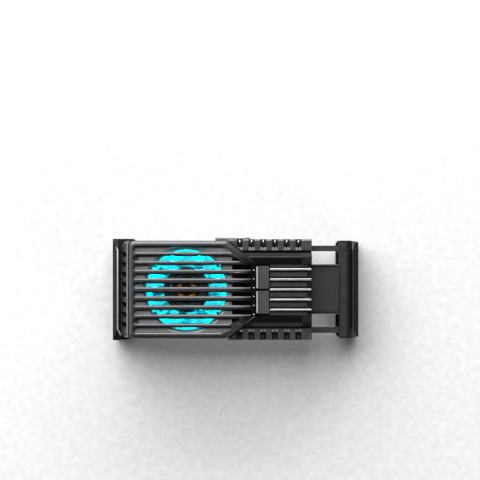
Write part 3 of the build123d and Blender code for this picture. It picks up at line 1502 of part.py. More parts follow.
with BuildPart() as jaw_cap:
    with BuildSketch(Plane.XZ):
        with BuildLine():
            Polyline(
                (cap_x1, ledge_z),
                (cap_x0, ledge_z),
                (cap_x0, cap_top - jaw_edge),
                (cap_x0 + jaw_edge, cap_top),
                (cap_flat_x, cap_top - small_gap),
            )
            ThreePointArc(
                (cap_flat_x, cap_top - small_gap),
                (
                    cap_flat_x + cap_crown_at * (cap_x1 - cap_flat_x),
                    cap_top - cap_crown_fall * (cap_top - cap_edge_z),
                ),
                (cap_x1, cap_edge_z),
            )
            Line((cap_x1, cap_edge_z), (cap_x1, ledge_z))
        make_face()
    extrude(amount=moving_jaw_half - cap_end, both=True)
    with BuildSketch(Plane.XY.offset(ledge_z)):
        with Locations(*moving_screws):
            Circle(head_r + screw_gap)
    extrude(amount=head_t + screw_gap, mode=Mode.SUBTRACT)
jaw_cap.part.label = "jaw_cap"
export_step(jaw_cap.part, "parts/jaw_cap.step")


def jaw_pad(back_x, face_x):
    """Ribbed rubber pad on the inner wall of a jaw."""
    with BuildPart() as pad:
        with BuildSketch(Plane.YZ.offset(min(back_x, face_x))):
            with Locations((0, (pad_top_z + pad_foot_z) / 2)):
                RectangleRounded(2 * jaw_pad_half, pad_top_z - pad_foot_z, pad_round)
        extrude(amount=abs(face_x - back_x))
        with BuildSketch(Plane.YZ.offset(face_x)):
            with Locations((0, (pad_top_z + pad_foot_z) / 2)):
                with GridLocations(1, pad_groove_pitch, 1, pad_groove_n):
                    Rectangle(2 * (jaw_pad_half - pad_round), pad_groove_w)
        extrude(amount=pad_groove_d, both=True, mode=Mode.SUBTRACT)
    return pad.part


fixed_jaw_pad = jaw_pad(fixed_pad_x - pad_t, fixed_pad_x)
fixed_jaw_pad.label = "fixed_jaw_pad"
export_step(fixed_jaw_pad, "parts/fixed_jaw_pad.step")
moving_jaw_pad = jaw_pad(moving_pad_x + pad_t, moving_pad_x)
moving_jaw_pad.label = "moving_jaw_pad"
export_step(moving_jaw_pad, "parts/moving_jaw_pad.step")

# Leads from the board to the module and to the fan

module_leads = Compound(
    [
        lead(
            [
                (module_side / 2, y, z),
                (flange_x / 2 + lead_r + 3 * small_gap, y, z),
                (board_x0 - lead_r / 2, y, board_top + lead_r),
                (board_x0 + lead_land, y, board_top + lead_r),
            ],
            lead_bend,
        )
        for y, z in module_lead_places
    ]
)
module_leads.label = "module_leads"
export_step(module_leads, "parts/module_leads.step")
fan_leads = Compound(
    [
        lead(
            [
                (fan_half, y, fan_lead_z),
                (fan_lead_x, y, fan_lead_z),
                (fan_lead_x, y, board_top + plug_h / 2),
                (plug_x - plug_l / 2, y, board_top + plug_h / 2),
            ],
            fan_lead_bend,
        )
        for y in (plug_y - lead_pitch / 2, plug_y + lead_pitch / 2)
    ]
)
fan_leads.label = "fan_leads"
export_step(fan_leads, "parts/fan_leads.step")
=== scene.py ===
"""Phone cooling pad: finishes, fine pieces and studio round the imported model. Lengths are in metres."""

from math import atan, cos, pi, radians, sin

import bmesh
import bpy
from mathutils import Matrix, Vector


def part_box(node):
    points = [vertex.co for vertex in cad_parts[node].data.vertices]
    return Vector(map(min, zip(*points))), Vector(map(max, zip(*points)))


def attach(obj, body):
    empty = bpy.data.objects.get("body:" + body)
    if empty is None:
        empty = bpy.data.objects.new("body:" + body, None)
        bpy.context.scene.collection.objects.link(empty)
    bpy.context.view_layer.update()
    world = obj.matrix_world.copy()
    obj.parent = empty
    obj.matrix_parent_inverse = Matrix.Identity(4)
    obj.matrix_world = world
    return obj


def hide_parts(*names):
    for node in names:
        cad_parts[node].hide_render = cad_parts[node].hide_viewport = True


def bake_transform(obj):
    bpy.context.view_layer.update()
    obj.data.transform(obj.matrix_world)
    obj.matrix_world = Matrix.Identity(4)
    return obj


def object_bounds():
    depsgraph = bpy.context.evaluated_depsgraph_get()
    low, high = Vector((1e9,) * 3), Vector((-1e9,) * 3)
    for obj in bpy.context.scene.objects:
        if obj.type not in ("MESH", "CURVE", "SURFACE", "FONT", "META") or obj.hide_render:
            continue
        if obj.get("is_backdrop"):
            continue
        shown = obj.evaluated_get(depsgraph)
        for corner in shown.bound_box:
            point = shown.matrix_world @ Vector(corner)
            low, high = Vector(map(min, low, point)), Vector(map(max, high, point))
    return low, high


bl_info = {
    "name": "Phone cooling pad",
    "version": (1, 0, 0),
    "blender": (4, 5, 0),
    "location": "3D View > Sidebar > Cooling pad",
    "description": "Finishes and fine pieces of a clamp-on cooling pad for a phone",
    "category": "Object",
}

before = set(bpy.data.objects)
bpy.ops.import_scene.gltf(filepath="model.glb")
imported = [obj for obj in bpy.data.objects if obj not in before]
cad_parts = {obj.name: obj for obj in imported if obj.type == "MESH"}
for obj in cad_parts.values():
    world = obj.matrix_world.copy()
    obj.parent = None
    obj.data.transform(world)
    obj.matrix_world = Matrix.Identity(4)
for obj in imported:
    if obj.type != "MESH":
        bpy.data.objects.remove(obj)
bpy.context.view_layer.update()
MM = 0.001

# Body names
HOUSING = "housing"


def colour(red, green, blue):
    """A linear colour with full alpha."""
    return (red, green, blue, 1.0)


# Grain of the moulded plastics, slow mottling and brushed streaks, in features per metre
MATT_GRAIN = 14000.0
SATIN_GRAIN = 16000.0
MOTTLE = 420.0
STREAKS = 2500.0

# Darkest and lightest share of a finish's colour, and how far its roughness strays either way
MOTTLE_SHADES = (0.86, 1.14)
MOTTLE_ROUGHNESS = 0.03
STREAK_SHADES = (0.85, 1.12)
STREAK_ROUGHNESS = 0.08

# How far a worn edge is rounded in the shading, and with how many samples
WORN_EDGE = 0.15 * MM
EDGE_SAMPLES = 6

# Colours of the smoked hub outwards from its middle, and the radius at the top of their scale; the teal
# rings are painted cyan light and the grey ring a painted reflection
HUB_RINGS = (
    (0.0 * MM, colour(0.006, 0.007, 0.008)),
    (2.75 * MM, colour(0.900, 0.320, 0.050)),
    (3.20 * MM, colour(0.850, 0.300, 0.045)),
    (3.35 * MM, colour(0.020, 0.050, 0.055)),
    (4.5 * MM, colour(0.010, 0.012, 0.013)),
    (5.1 * MM, colour(0.030, 0.180, 0.200)),
    (5.6 * MM, colour(0.016, 0.018, 0.020)),
    (6.5 * MM, colour(0.080, 0.072, 0.068)),
    (7.2 * MM, colour(0.008, 0.010, 0.011)),
)
HUB_REACH = 16.0 * MM

# Inner and outer radius of the frame's bore with its painted glow, and of the bushing's bright ring
PAINTED_GLOW_BORE = (5.6 * MM, 13.42 * MM)
BRIGHT_RING = (2.20 * MM, 2.80 * MM)

# The way that the facet on the moving jaw's lower corner faces; the facet has a painted highlight
CORNER_FACET = (0.0, -0.46, 0.89)

# The cover's shoulders: their slope in plan, and where they begin and end on it; the dull bands' edge
SHOULDER_SLOPE = 0.747
SHOULDER_RUN = (25.7 * MM, 30.0 * MM)
BAND_EDGE = (10.95 * MM, 11.05 * MM)

# The grooves and the lips of the arm's middle plate, to either side of its middle
PLATE_GROOVE = (7.58 * MM, 7.98 * MM)
PLATE_LIP = (8.00 * MM, 8.50 * MM)

# Lamps under the blades: their number, how far inside the ring board's edge and over it, and their size
LAMPS = 8
LAMP_INSET = 1.6 * MM
LAMP_LIFT = 0.7 * MM
LAMP_SIZE = 0.5 * MM

# How many times brighter the ring board is than the blades
BOARD_GAIN = 2.0

# Facets of the round pieces
WIRE_SIDES = 10
TURN_STEPS = 24
HOOK_STEPS = 12
EYE_STEPS = 32
BEAD_SIDES = 12
PIN_SIDES = 20
DOME_STEPS = 4

# A pin's domed edge, as a share of its radius, and the angles up to which faces are shaded smooth
DOME = 0.55
BEAD_SMOOTH = radians(50)
PIN_SMOOTH = radians(40)

# The bead of the fixed jaw, a light piece that stands for a painted highlight along its ridge: how far
# its straight run lies inside the jaw's outer side and under its top, and the steps by which its two ends
# run on down the mitres
BEAD_INSET = 1.7 * MM
BEAD_DEPTH = 0.10 * MM
BEAD_NEAR_STEP = (1.0 * MM, -2.1 * MM, -1.0 * MM)
BEAD_FAR_STEP = (-1.2 * MM, 2.6 * MM, -1.45 * MM)

# The light strip of a badge, a painted highlight along its left side: how far it lies inside the badge's
# left side, its two ends and its top
STRIP_INSET = 0.34 * MM
STRIP_END = 0.20 * MM
STRIP_DEPTH = 0.12 * MM

# Pips, light pieces that stand for painted glints: their number and height, the row number that would lie
# on the X axis, how far they stand from the badges, and how far their feet lie under the cover's top
PIPS = 6
PIP_HEIGHT = 0.35 * MM
PIP_MIDDLE = 2.8
PIP_LEAD = 0.75 * MM
PIP_DEPTH = 1.05 * MM

# Clips: their height, how far they lie from the fan's axis along X and Y, and over the shroud's underside
CLIP_HEIGHT = 0.5 * MM
CLIP_SPOT = (10.4 * MM, 7.9 * MM)
CLIP_LIFT = 0.12 * MM

# Soft lights: place, turn from straight down in degrees, width and depth
OVERHEAD_LIGHT = ((-1.30, 1.56, 1.80), (0, 0, 0), 3.40, 2.40)
KEY_LIGHT = ((-0.30, 1.35, 0.45), (-72, 0, 0), 2.60, 0.70)
SIDE_LIGHT = ((-1.45, 0.10, 0.45), (0, -72, 0), 0.70, 1.60)
CORNER_LIGHT = ((1.05, -1.05, 0.50), (70, 0, 45), 0.50, 0.50)

# Faint light from all round, and the point under the middle of the picture
SKY = colour(0.9, 0.95, 1.0)
SKY_STRENGTH = 0.03
VIEW_MIDDLE = (17.9 * MM, 16.6 * MM)

# The gap that keeps the floor clear of the jaws' lips, and the nearest and farthest that the camera sees
FLOOR_GAP = 0.02 * MM
VIEW_REACH = (0.01, 20.0)


# Sizes and colours that a user would change


def tint(name, description, default):
    """A colour that the user can change."""
    return bpy.props.FloatVectorProperty(
        name=name, description=description, subtype="COLOR", size=4, min=0.0, max=1.0, default=default
    )


def span(name, description, default, low=0.0):
    """A length that the user can change."""
    return bpy.props.FloatProperty(
        name=name, description=description, default=default, min=low, unit="LENGTH", precision=5
    )


def power(name, description, default):
    """A light's power or a brightness that the user can change."""
    return bpy.props.FloatProperty(
        name=name, description=description, default=default, min=0.0, precision=4
    )


class PadFinishes(bpy.types.PropertyGroup):
    """Colours of the moulded, cast and turned pieces."""

    housing: tint("Housing", "Matt plastic of the shell", colour(0.100, 0.101, 0.106))
    jaws: tint("Jaws", "Plastic of the two jaws", colour(0.011, 0.0112, 0.0125))
    cover: tint("Cover", "Satin plastic of the grille and the spine", colour(0.115, 0.116, 0.120))
    shroud: tint("Shroud", "Grey plate under the grille", colour(0.34, 0.34, 0.345))
    # The rib tops' bright colour is a painted highlight
    ribs: tint("Rib tops", "Bright tops of the five tall ribs", colour(0.66, 0.66, 0.68))
    low_bars: tint("Low bars", "Plastic between the tall ribs", colour(0.115, 0.115, 0.118))
    badge: tint("Badge plates", "Blasted metal of the two plates", colour(0.095, 0.095, 0.097))
    arm: tint("Slide arm", "Powder coat of the arm", colour(0.048, 0.048, 0.050))
    rubber: tint("Jaw rubber", "Soft pads of the jaws", colour(0.022, 0.022, 0.023))
    silicone: tint("Contact pad", "Soft pad that touches the phone", colour(0.23, 0.25, 0.28))
    # The light edges are painted highlights and glints
    edges: tint("Light edges", "Beads, strips, pips and the end wall's rim", colour(0.55, 0.55, 0.57))
    copper: tint("Copper", "Bushing and coils", colour(0.85, 0.36, 0.10))


class PadTrim(bpy.types.PropertyGroup):
    """Sizes of the fine pieces on the jaws, the grille and the fan's mouth."""

    # The bead stands for a painted highlight along the fixed jaw's ridge
    bead: span("Bead", "Radius of the worn bead on the fixed jaw", 0.26 * MM)
    bead_half: span("Bead half length", "Half of the bead's straight run", 13.2 * MM)
    strip: span("Strip", "Radius of the light strips along the badges", 0.32 * MM)
    pip: span("Pip", "Radius of the six pips at the ends of the slots", 0.27 * MM)
    pip_row: span("Pip row", "Distance between two pips", 2.94 * MM)
    clip: span("Clip", "Radius of the four clips round the fan", 0.55 * MM)


class PadGlow(bpy.types.PropertyGroup):
    """Light of the fan."""

    # The blades' glow is painted light
    core: tint("Glow", "Main colour of the lit blades", colour(0.010, 0.93, 0.93))
    # The shade falls in random patches of the painted glow, not on thicker parts
    shade: tint("Shade", "Colour of the blades' thicker parts", colour(0.020, 0.60, 0.86))
    edge: tint("Edges", "Colour of the blades' steep edges", colour(0.006, 0.22, 0.28))
    hub: span("Hub", "Radius of the smoked hub", 7.65 * MM)
    strength: power("Strength", "Brightness of the lit blades", 1.0)
    lamps: tint("Lamps", "Colour of the lit board under the blades", colour(0.0, 0.85, 1.0))
    lamp_power: power("Lamp power", "Power of each lamp under the blades", 0.004)


class PadSprings(bpy.types.PropertyGroup):
    """Sizes of the two springs."""

    turns: bpy.props.IntProperty(name="Turns", description="Turns of each spring", default=40, min=4)
    wire: span("Wire", "Diameter of the wire", 0.30 * MM, 0.05 * MM)
    coil: span("Coil", "Diameter of the coil at the middle of the wire", 1.64 * MM, 0.2 * MM)
    eye: span("Eye", "Diameter of the eye at the middle of the wire", 1.9 * MM, 0.2 * MM)


class PadStage(bpy.types.PropertyGroup):
    """Camera, floor and lights."""

    camera_height: span("Camera height", "Distance from the grille to the camera", 1.0, 0.1)
    field: span("Field", "Width that the picture shows at the grille", 0.160, 0.01)
    floor_size: span("Floor", "Side of the square floor", 6.0, 0.5)
    overhead: power("Overhead light", "Power of the large light above and behind", 88.0)
    key: power("Key light", "Power of the low long light at the top of the picture", 38.0)
    side: power("Side light", "Power of the low light at the left of the picture", 4.0)
    corner: power("Corner light", "Power of the small light at the lower right of the picture", 4.0)


# Nodes that finishes are made of


def fresh_material(name, base):
    """A new node material with its tree and its shader, and the same colour in the viewport."""
    material = bpy.data.materials.new(name)
    material.use_nodes = True
    material.diffuse_color = base
    tree = material.node_tree
    return material, tree, tree.nodes["Principled BSDF"]


def feed(tree, value, socket):
    """Links an output to a socket, or sets the socket to a plain value."""
    if isinstance(value, bpy.types.NodeSocket):
        tree.links.new(value, socket)
    else:
        socket.default_value = value


def shade_of(base, factor):
    """The same colour, lighter or darker."""
    return colour(*[min(part * factor, 1.0) for part in base[:3]])


def shades_of(base, darkest_and_lightest):
    """The darkest and the lightest shade of a finish."""
    return [shade_of(base, factor) for factor in darkest_and_lightest]


def add_noise(tree, scale, detail, stretch=(1.0, 1.0, 1.0)):
    """Noise on Object coordinates; scale counts features per metre."""
    place = tree.nodes.new("ShaderNodeTexCoord")
    mapping = tree.nodes.new("ShaderNodeMapping")
    mapping.inputs["Scale"].default_value = stretch
    noise = tree.nodes.new("ShaderNodeTexNoise")
    noise.inputs["Scale"].default_value = scale
    noise.inputs["Detail"].default_value = detail
    tree.links.new(place.outputs["Object"], mapping.inputs["Vector"])
    tree.links.new(mapping.outputs["Vector"], noise.inputs["Vector"])
    return noise.outputs["Fac"]


def add_bump(tree, value, strength, depth):
    """A Bump node on a value."""
    bump = tree.nodes.new("ShaderNodeBump")
    bump.inputs["Strength"].default_value = strength
    bump.inputs["Distance"].default_value = depth
    tree.links.new(value, bump.inputs["Height"])
    return bump


def add_axes(tree):
    """Object coordinates as three separate outputs X, Y and Z."""
    place = tree.nodes.new("ShaderNodeTexCoord")
    axes = tree.nodes.new("ShaderNodeSeparateXYZ")
    tree.links.new(place.outputs["Object"], axes.inputs["Vector"])
    return axes.outputs["X"], axes.outputs["Y"], axes.outputs["Z"]


def add_radius(tree):
    """The distance from the Z axis."""
    along, across, _ = add_axes(tree)
    flat = tree.nodes.new("ShaderNodeCombineXYZ")
    length = tree.nodes.new("ShaderNodeVectorMath")
    length.operation = "LENGTH"
    tree.links.new(along, flat.inputs["X"])
    tree.links.new(across, flat.inputs["Y"])
    tree.links.new(flat.outputs["Vector"], length.inputs[0])
    return length.outputs["Value"]


def add_facing(tree, direction):
    """1 where a face looks along a direction, and less the more it leans away from it."""
    face = tree.nodes.new("ShaderNodeNewGeometry")
    lean = tree.nodes.new("ShaderNodeVectorMath")
    lean.operation = "DOT_PRODUCT"
    tree.links.new(face.outputs["Normal"], lean.inputs[0])
    feed(tree, direction, lean.inputs[1])
    return lean.outputs["Value"]


def add_math(tree, operation, *values):
    """A Math node on outputs and plain numbers."""
    node = tree.nodes.new("ShaderNodeMath")
    node.operation = operation
    for value, socket in zip(values, node.inputs):
        feed(tree, value, socket)
    return node.outputs["Value"]


def both(tree, first, second):
    """1 where two masks are 1."""
    return add_math(tree, "MULTIPLY", first, second)


def either(tree, first, second):
    """1 where one of two masks is 1."""
    return add_math(tree, "MAXIMUM", first, second)


def add_range(tree, value, low, high, start=0.3, end=0.7):
    """Maps a value to a range; start and end suit noise."""
    spread = tree.nodes.new("ShaderNodeMapRange")
    spread.inputs["From Min"].default_value = start
    spread.inputs["From Max"].default_value = end
    spread.inputs["To Min"].default_value = low
    spread.inputs["To Max"].default_value = high
    tree.links.new(value, spread.inputs["Value"])
    return spread.outputs["Result"]


def add_rise(tree, value, start, end):
    """0 up to a start, 1 past an end."""
    return add_range(tree, value, 0.0, 1.0, start, end)


def add_fall(tree, value, start, end):
    """1 up to a start, 0 past an end."""
    return add_range(tree, value, 1.0, 0.0, start, end)


def add_between(tree, value, low, high, blur=0.04 * MM):
    """1 where a value lies between two places, else 0."""
    rise = add_rise(tree, value, low - blur, low + blur)
    return both(tree, rise, add_fall(tree, value, high - blur, high + blur))


def add_turned_away(tree):
    """1 where a face leans towards -Y or +X, away from the light."""
    front = add_fall(tree, add_facing(tree, (0.0, 1.0, 0.0)), -0.60, -0.15)
    return either(tree, front, add_rise(tree, add_facing(tree, (1.0, 0.0, 0.0)), 0.15, 0.60))


def add_ramp(tree, value, stops, reach):
    """Colours along a value; a stop is a place and its colour, and reach is the value's top."""
    ramp = tree.nodes.new("ShaderNodeValToRGB")
    elements = ramp.color_ramp.elements
    while len(elements) < len(stops):
        elements.new(0.5)
    for element, (spot, shade) in zip(elements, stops):
        element.position = spot / reach
        element.color = shade
    tree.links.new(add_math(tree, "MULTIPLY", value, 1.0 / reach), ramp.inputs["Fac"])
    return ramp.outputs["Color"]


def add_mix(tree, factor, first, second, kind="RGBA"):
    """Mixes two colours, or two numbers of kind FLOAT, by a factor; each is plain or an output."""
    mix = tree.nodes.new("ShaderNodeMix")
    mix.data_type = kind
    socket_type = "RGBA" if kind == "RGBA" else "VALUE"
    tree.links.new(factor, mix.inputs["Factor"])
    for name, value in (("A", first), ("B", second)):
        feed(tree, value, [s for s in mix.inputs if s.name == name and s.type == socket_type][0])
    return [s for s in mix.outputs if s.type == socket_type][0]


def zoned(material, mask, tone, roughness, metal):
    """Gives part of a finish another colour, roughness and metallic share, where the mask is 1."""
    tree = material.node_tree
    shader = tree.nodes["Principled BSDF"]
    for name, value, kind in (
        ("Base Color", tone, "RGBA"), ("Roughness", roughness, "FLOAT"), ("Metallic", metal, "FLOAT")
    ):
        socket = shader.inputs[name]
        before = socket.links[0].from_socket if socket.links else socket.default_value
        tree.links.new(add_mix(tree, mask, before, value, kind), socket)


# Kinds of finish


def grained(
    name, base, roughness, grain=4200.0, bump=0.12, depth=0.02 * MM, metal=0.0, coat=0.0, gloss=0.5,
    edge=0.0, wear_and_sheen=1.0,
):
    """Fine grain in the height, mottled colour and roughness, and edges rounded and lighter, partly as
    wear and partly as a painted highlight.
    """
    material, tree, shader = fresh_material(name, base)
    cloud = add_noise(tree, MOTTLE, 2.0)
    height = add_bump(tree, add_noise(tree, grain, 1.0), bump, depth)
    body = add_mix(tree, cloud, *shades_of(base, MOTTLE_SHADES))
    if edge:
        turned = tree.nodes.new("ShaderNodeBevel")
        turned.samples = EDGE_SAMPLES
        turned.inputs["Radius"].default_value = edge
        tree.links.new(turned.outputs["Normal"], height.inputs["Normal"])
        # The lighter band on rounded edges is partly wear and partly a painted edge highlight
        rubbed_and_sheen = add_fall(tree, add_facing(tree, turned.outputs["Normal"]), 0.70, 0.97)
        body = add_mix(tree, rubbed_and_sheen, body, shade_of(base, wear_and_sheen))
    tree.links.new(body, shader.inputs["Base Color"])
    rough = add_range(tree, cloud, roughness - MOTTLE_ROUGHNESS, roughness + MOTTLE_ROUGHNESS)
    tree.links.new(rough, shader.inputs["Roughness"])
    tree.links.new(height.outputs["Normal"], shader.inputs["Normal"])
    shader.inputs["Metallic"].default_value = metal
    shader.inputs["Coat Weight"].default_value = coat
    shader.inputs["Specular IOR Level"].default_value = gloss
    return material


def brushed(name, base, roughness, stretch, metal=1.0):
    """Metal brushed or turned along one axis."""
    material, tree, shader = fresh_material(name, base)
    streak = add_noise(tree, STREAKS, 3.0, stretch)
    tree.links.new(add_mix(tree, streak, *shades_of(base, STREAK_SHADES)), shader.inputs["Base Color"])
    rough = add_range(tree, streak, roughness - STREAK_ROUGHNESS, roughness + STREAK_ROUGHNESS)
    tree.links.new(rough, shader.inputs["Roughness"])
    height = add_bump(tree, streak, 0.15, 0.01 * MM)
    tree.links.new(height.outputs["Normal"], shader.inputs["Normal"])
    shader.inputs["Metallic"].default_value = metal
    return material


def lit(name, core, shade, strength):
    """A glowing finish with a second colour in random patches: the lamps of the ring board, and a painted
    glow on the clear blades.
    """
    material, tree, shader = fresh_material(name, core)
    fade = add_rise(tree, add_noise(tree, MOTTLE, 2.0), 0.42, 0.62)
    tree.links.new(add_mix(tree, fade, core, shade), shader.inputs["Emission Color"])
    shader.inputs["Emission Strength"].default_value = strength
    shader.inputs["Base Color"].default_value = shade_of(core, 0.15)
    shader.inputs["Roughness"].default_value = 0.35
    return material


def dress(material, *nodes):
    """Gives CAD nodes a finish in place of their plain one."""
    for node in nodes:
        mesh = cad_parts[node].data
        mesh.materials.clear()
        mesh.materials.append(material)


# Finishes with zones of their own, most of them placed from the boxes of the nodes


def shell_finish(tints):
    """Matt shell with painted highlights on the ramps and painted shade in the pits of its flanks,
    painted shade on the end wall, and a painted highlight along the end wall's rim.
    """
    shell = grained(
        "housing_plastic", tints.housing, 0.36, MATT_GRAIN, metal=0.75, edge=WORN_EDGE, wear_and_sheen=2.5
    )
    tree = shell.node_tree
    along, side, height = add_axes(tree)
    across = add_math(tree, "ABSOLUTE", side)
    low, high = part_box("base_shell")
    top = high[2]

    flank_y = high[1] - 3.9 * MM
    flank_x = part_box("fan_shroud")[1][0] + 1.4 * MM
    outer = add_rise(tree, across, flank_y, flank_y + 0.1 * MM)
    flank = both(tree, outer, add_rise(tree, along, flank_x, flank_x + 0.2 * MM))
    ramps = both(tree, flank, add_between(tree, height, top - 2.25 * MM, top - 1.20 * MM))
    # Painted highlight on the ramps in the flanks
    zoned(shell, ramps, shade_of(tints.housing, 2.2), 0.20, 0.9)

    pits = both(tree, flank, add_between(tree, height, top - 4.90 * MM, top - 2.30 * MM))
    under_skin = add_fall(tree, across, high[1] - 0.10 * MM, high[1] - 0.04 * MM)
    # Painted shade in the pits of the flanks
    zoned(shell, both(tree, pits, under_skin), colour(0.008, 0.008, 0.009), 0.5, 0.0)

    wall_x = add_between(tree, along, low[0] + 0.02 * MM, low[0] + 2.12 * MM)
    end_wall = both(tree, wall_x, add_between(tree, height, top - 4.20 * MM, top - 0.05 * MM))
    # Painted shade on the end wall
    zoned(shell, end_wall, shade_of(tints.housing, 0.55), 0.36, 0.6)

    rim_x = add_between(tree, along, low[0] + 2.16 * MM, low[0] + 2.64 * MM)
    rim = both(tree, rim_x, add_rise(tree, height, top - 0.3 * MM, top - 0.1 * MM))
    # Painted highlight along the end wall's rim
    zoned(shell, rim, shade_of(tints.edges, 0.5), 0.40, 0.2)
    return shell


def jaw_finish(tints):
    """Dull dark jaws; on the moving one, painted shade on the seat, a painted highlight on the ridge and
    a painted highlight on the lower corner facet.
    """
    jaws = grained(
        "jaw_plastic", tints.jaws, 0.42, MATT_GRAIN, 0.05, gloss=0.14, edge=WORN_EDGE, wear_and_sheen=1.8
    )
    tree = jaws.node_tree
    along, _, _ = add_axes(tree)
    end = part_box("moving_jaw")[1][0]

    seat = add_between(tree, along, end - 3.00 * MM, end - 2.18 * MM)
    # Painted shade on the seat between the cap and the moving jaw
    zoned(jaws, seat, shade_of(tints.jaws, 0.3), 0.60, 0.6)

    ridge = add_between(tree, along, end - 2.12 * MM, end - 1.80 * MM)
    # Painted highlight along the moving jaw's ridge
    zoned(jaws, ridge, shade_of(tints.jaws, 6.0), 0.30, 0.6)

    # Painted highlight on the facet at the moving jaw's lower corner
    facet = add_rise(tree, add_facing(tree, CORNER_FACET), 0.985, 0.998)
    corner = both(tree, facet, add_rise(tree, along, end - 3.8 * MM, end - 3.3 * MM))
    zoned(jaws, corner, colour(0.13, 0.13, 0.14), 0.35, 0.3)
    return jaws


def cover_finish(tints):
    """Satin cover with painted shade on the shoulders and the spine, dull bands beside the spine with
    painted light on the one towards -Y, and painted shade on the bars' sides turned from the light, on
    the cap's right edge and at the cover's right end.
    """
    cover = grained("cover_plastic", tints.cover, 0.30, SATIN_GRAIN, 0.05, metal=0.85)
    tree = cover.node_tree
    along, side, height = add_axes(tree)
    across = add_math(tree, "ABSOLUTE", side)
    low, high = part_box("front_cover")
    fan_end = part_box("fan_shroud")[1][0]
    cap_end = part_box("jaw_cap")[1][0]

    # The cover and the jaw's cap share this finish, so some zones end with the housing
    on_housing = add_fall(tree, along, high[0] + 3.1 * MM, high[0] + 4.1 * MM)
    past_fan = add_rise(tree, along, fan_end - 0.2 * MM, fan_end)

    # This sum is the same all along each edge of a shoulder, because the edges slant in plan
    slant = add_math(tree, "MULTIPLY_ADD", along, SHOULDER_SLOPE, across)
    shoulder = both(tree, add_between(tree, slant, *SHOULDER_RUN), past_fan)
    # Painted shade on the shoulders, standing in for a dark reflection
    zoned(cover, both(tree, shoulder, on_housing), shade_of(tints.cover, 0.3), 0.30, 0.6)

    spine_top = add_rise(tree, along, fan_end + 1.3 * MM, fan_end + 6.4 * MM)
    spine_side = both(tree, add_fall(tree, height, high[2] - 1.38 * MM, high[2] - 1.30 * MM), past_fan)
    spine = both(tree, either(tree, spine_top, spine_side), on_housing)
    # Painted shade: the cover darkens towards the spine, and on the spine's sides
    zoned(cover, spine, shade_of(tints.cover, 0.3), 0.12, 0.85)

    bands = both(tree, spine, add_rise(tree, across, *BAND_EDGE))
    zoned(cover, bands, colour(0.015, 0.017, 0.019), 0.80, 0.6)
    # Painted light on the band towards -Y, lighter than the band towards +Y
    painted_light_half = add_fall(tree, side, -1.0 * MM, 1.0 * MM)
    zoned(cover, both(tree, bands, painted_light_half), colour(0.050, 0.054, 0.060), 0.80, 0.3)

    grille_x = add_between(tree, along, low[0] - 0.4 * MM, fan_end + 6.8 * MM, 0.3 * MM)
    grille = both(tree, grille_x, add_fall(tree, across, high[1] - 0.8 * MM, high[1] - 0.5 * MM))
    # Painted shade on the bars' sides that face -Y or +X
    zoned(cover, both(tree, grille, add_turned_away(tree)), colour(0.006, 0.006, 0.007), 0.45, 0.3)

    # Painted shade along the cap's right edge
    cap_edge_shade = add_between(tree, along, cap_end - 1.3 * MM, cap_end + 0.4 * MM, 0.5 * MM)
    zoned(cover, cap_edge_shade, colour(0.004, 0.004, 0.005), 0.6, 0.6)

    # Painted shade at the cover's right end
    tail = both(tree, add_rise(tree, along, high[0] - 3.3 * MM, high[0] - 3.0 * MM), on_housing)
    zoned(cover, tail, colour(0.006, 0.006, 0.007), 0.60, 0.5)
    return cover


def rib_finish(tints):
    """Painted shade up to the low bars, grey on the low bars and a bright painted highlight on the tops
    of the tall ribs.
    """
    ribs = grained("rib_plastic", tints.low_bars, 0.32, SATIN_GRAIN, 0.05, metal=0.8)
    tree = ribs.node_tree
    _, _, height = add_axes(tree)
    low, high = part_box("rib_insert")
    bars = low[2] + 0.56 * MM
    tops = high[2] - 0.22 * MM
    blur = 0.02 * MM
    # Painted shade in the gaps up to the low bars
    zoned(ribs, add_fall(tree, height, bars - blur, bars + blur), colour(0.006, 0.006, 0.007), 0.32, 0.0)
    # Painted highlight on the tops of the tall ribs
    zoned(ribs, add_rise(tree, height, tops - blur, tops + blur), tints.ribs, 0.32, 1.0)
    return ribs


def badge_finish(tints):
    """Blasted metal with painted shade in the groove behind the light strip."""
    badge = grained("badge_metal", tints.badge, 0.40, 9000.0, 0.3, metal=0.6)
    tree = badge.node_tree
    along, _, _ = add_axes(tree)
    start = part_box("badge_upper")[0][0]
    groove = add_between(tree, along, start + 0.72 * MM, start + 1.00 * MM)
    # Painted shade in the groove behind the strip
    zoned(badge, groove, colour(0.008, 0.008, 0.008), 0.5, 0.0)
    return badge


def arm_finish(tints):
    """Powder-coated arm with painted shade in the grooves and painted highlights on the lips along its
    middle plate.
    """
    arm = grained("arm_metal", tints.arm, 0.45, 7000.0, 0.2, metal=0.2)
    tree = arm.node_tree
    _, side, _ = add_axes(tree)
    across = add_math(tree, "ABSOLUTE", side)
    # Painted shade in the grooves of the middle plate
    zoned(arm, add_between(tree, across, *PLATE_GROOVE), colour(0.004, 0.004, 0.004), 0.8, 0.6)
    # Painted highlight on the lips of the middle plate
    zoned(arm, add_between(tree, across, *PLATE_LIP), shade_of(tints.arm, 2.4), 0.40, 0.0)
    return arm


def edge_highlight_finish(tints):
    """Light finish, a painted highlight, made once for the bead and the strips."""
    made = bpy.data.materials.get("painted_highlight_edge")
    return made or grained("painted_highlight_edge", tints.edges, 0.5, SATIN_GRAIN, 0.02, metal=0.3)


def bore_finish(glow):
    """Black plastic with a painted glow in its bore."""
    bore = grained("frame_plastic", colour(0.016, 0.018, 0.019), 0.40, MATT_GRAIN)
    tree = bore.node_tree
    shader = tree.nodes["Principled BSDF"]
    shader.inputs["Emission Color"].default_value = glow.core
    # Painted glow in the frame's bore
    painted_glow = add_between(tree, add_radius(tree), *PAINTED_GLOW_BORE, 0.2 * MM)
    tree.links.new(painted_glow, shader.inputs["Emission Strength"])
    return bore


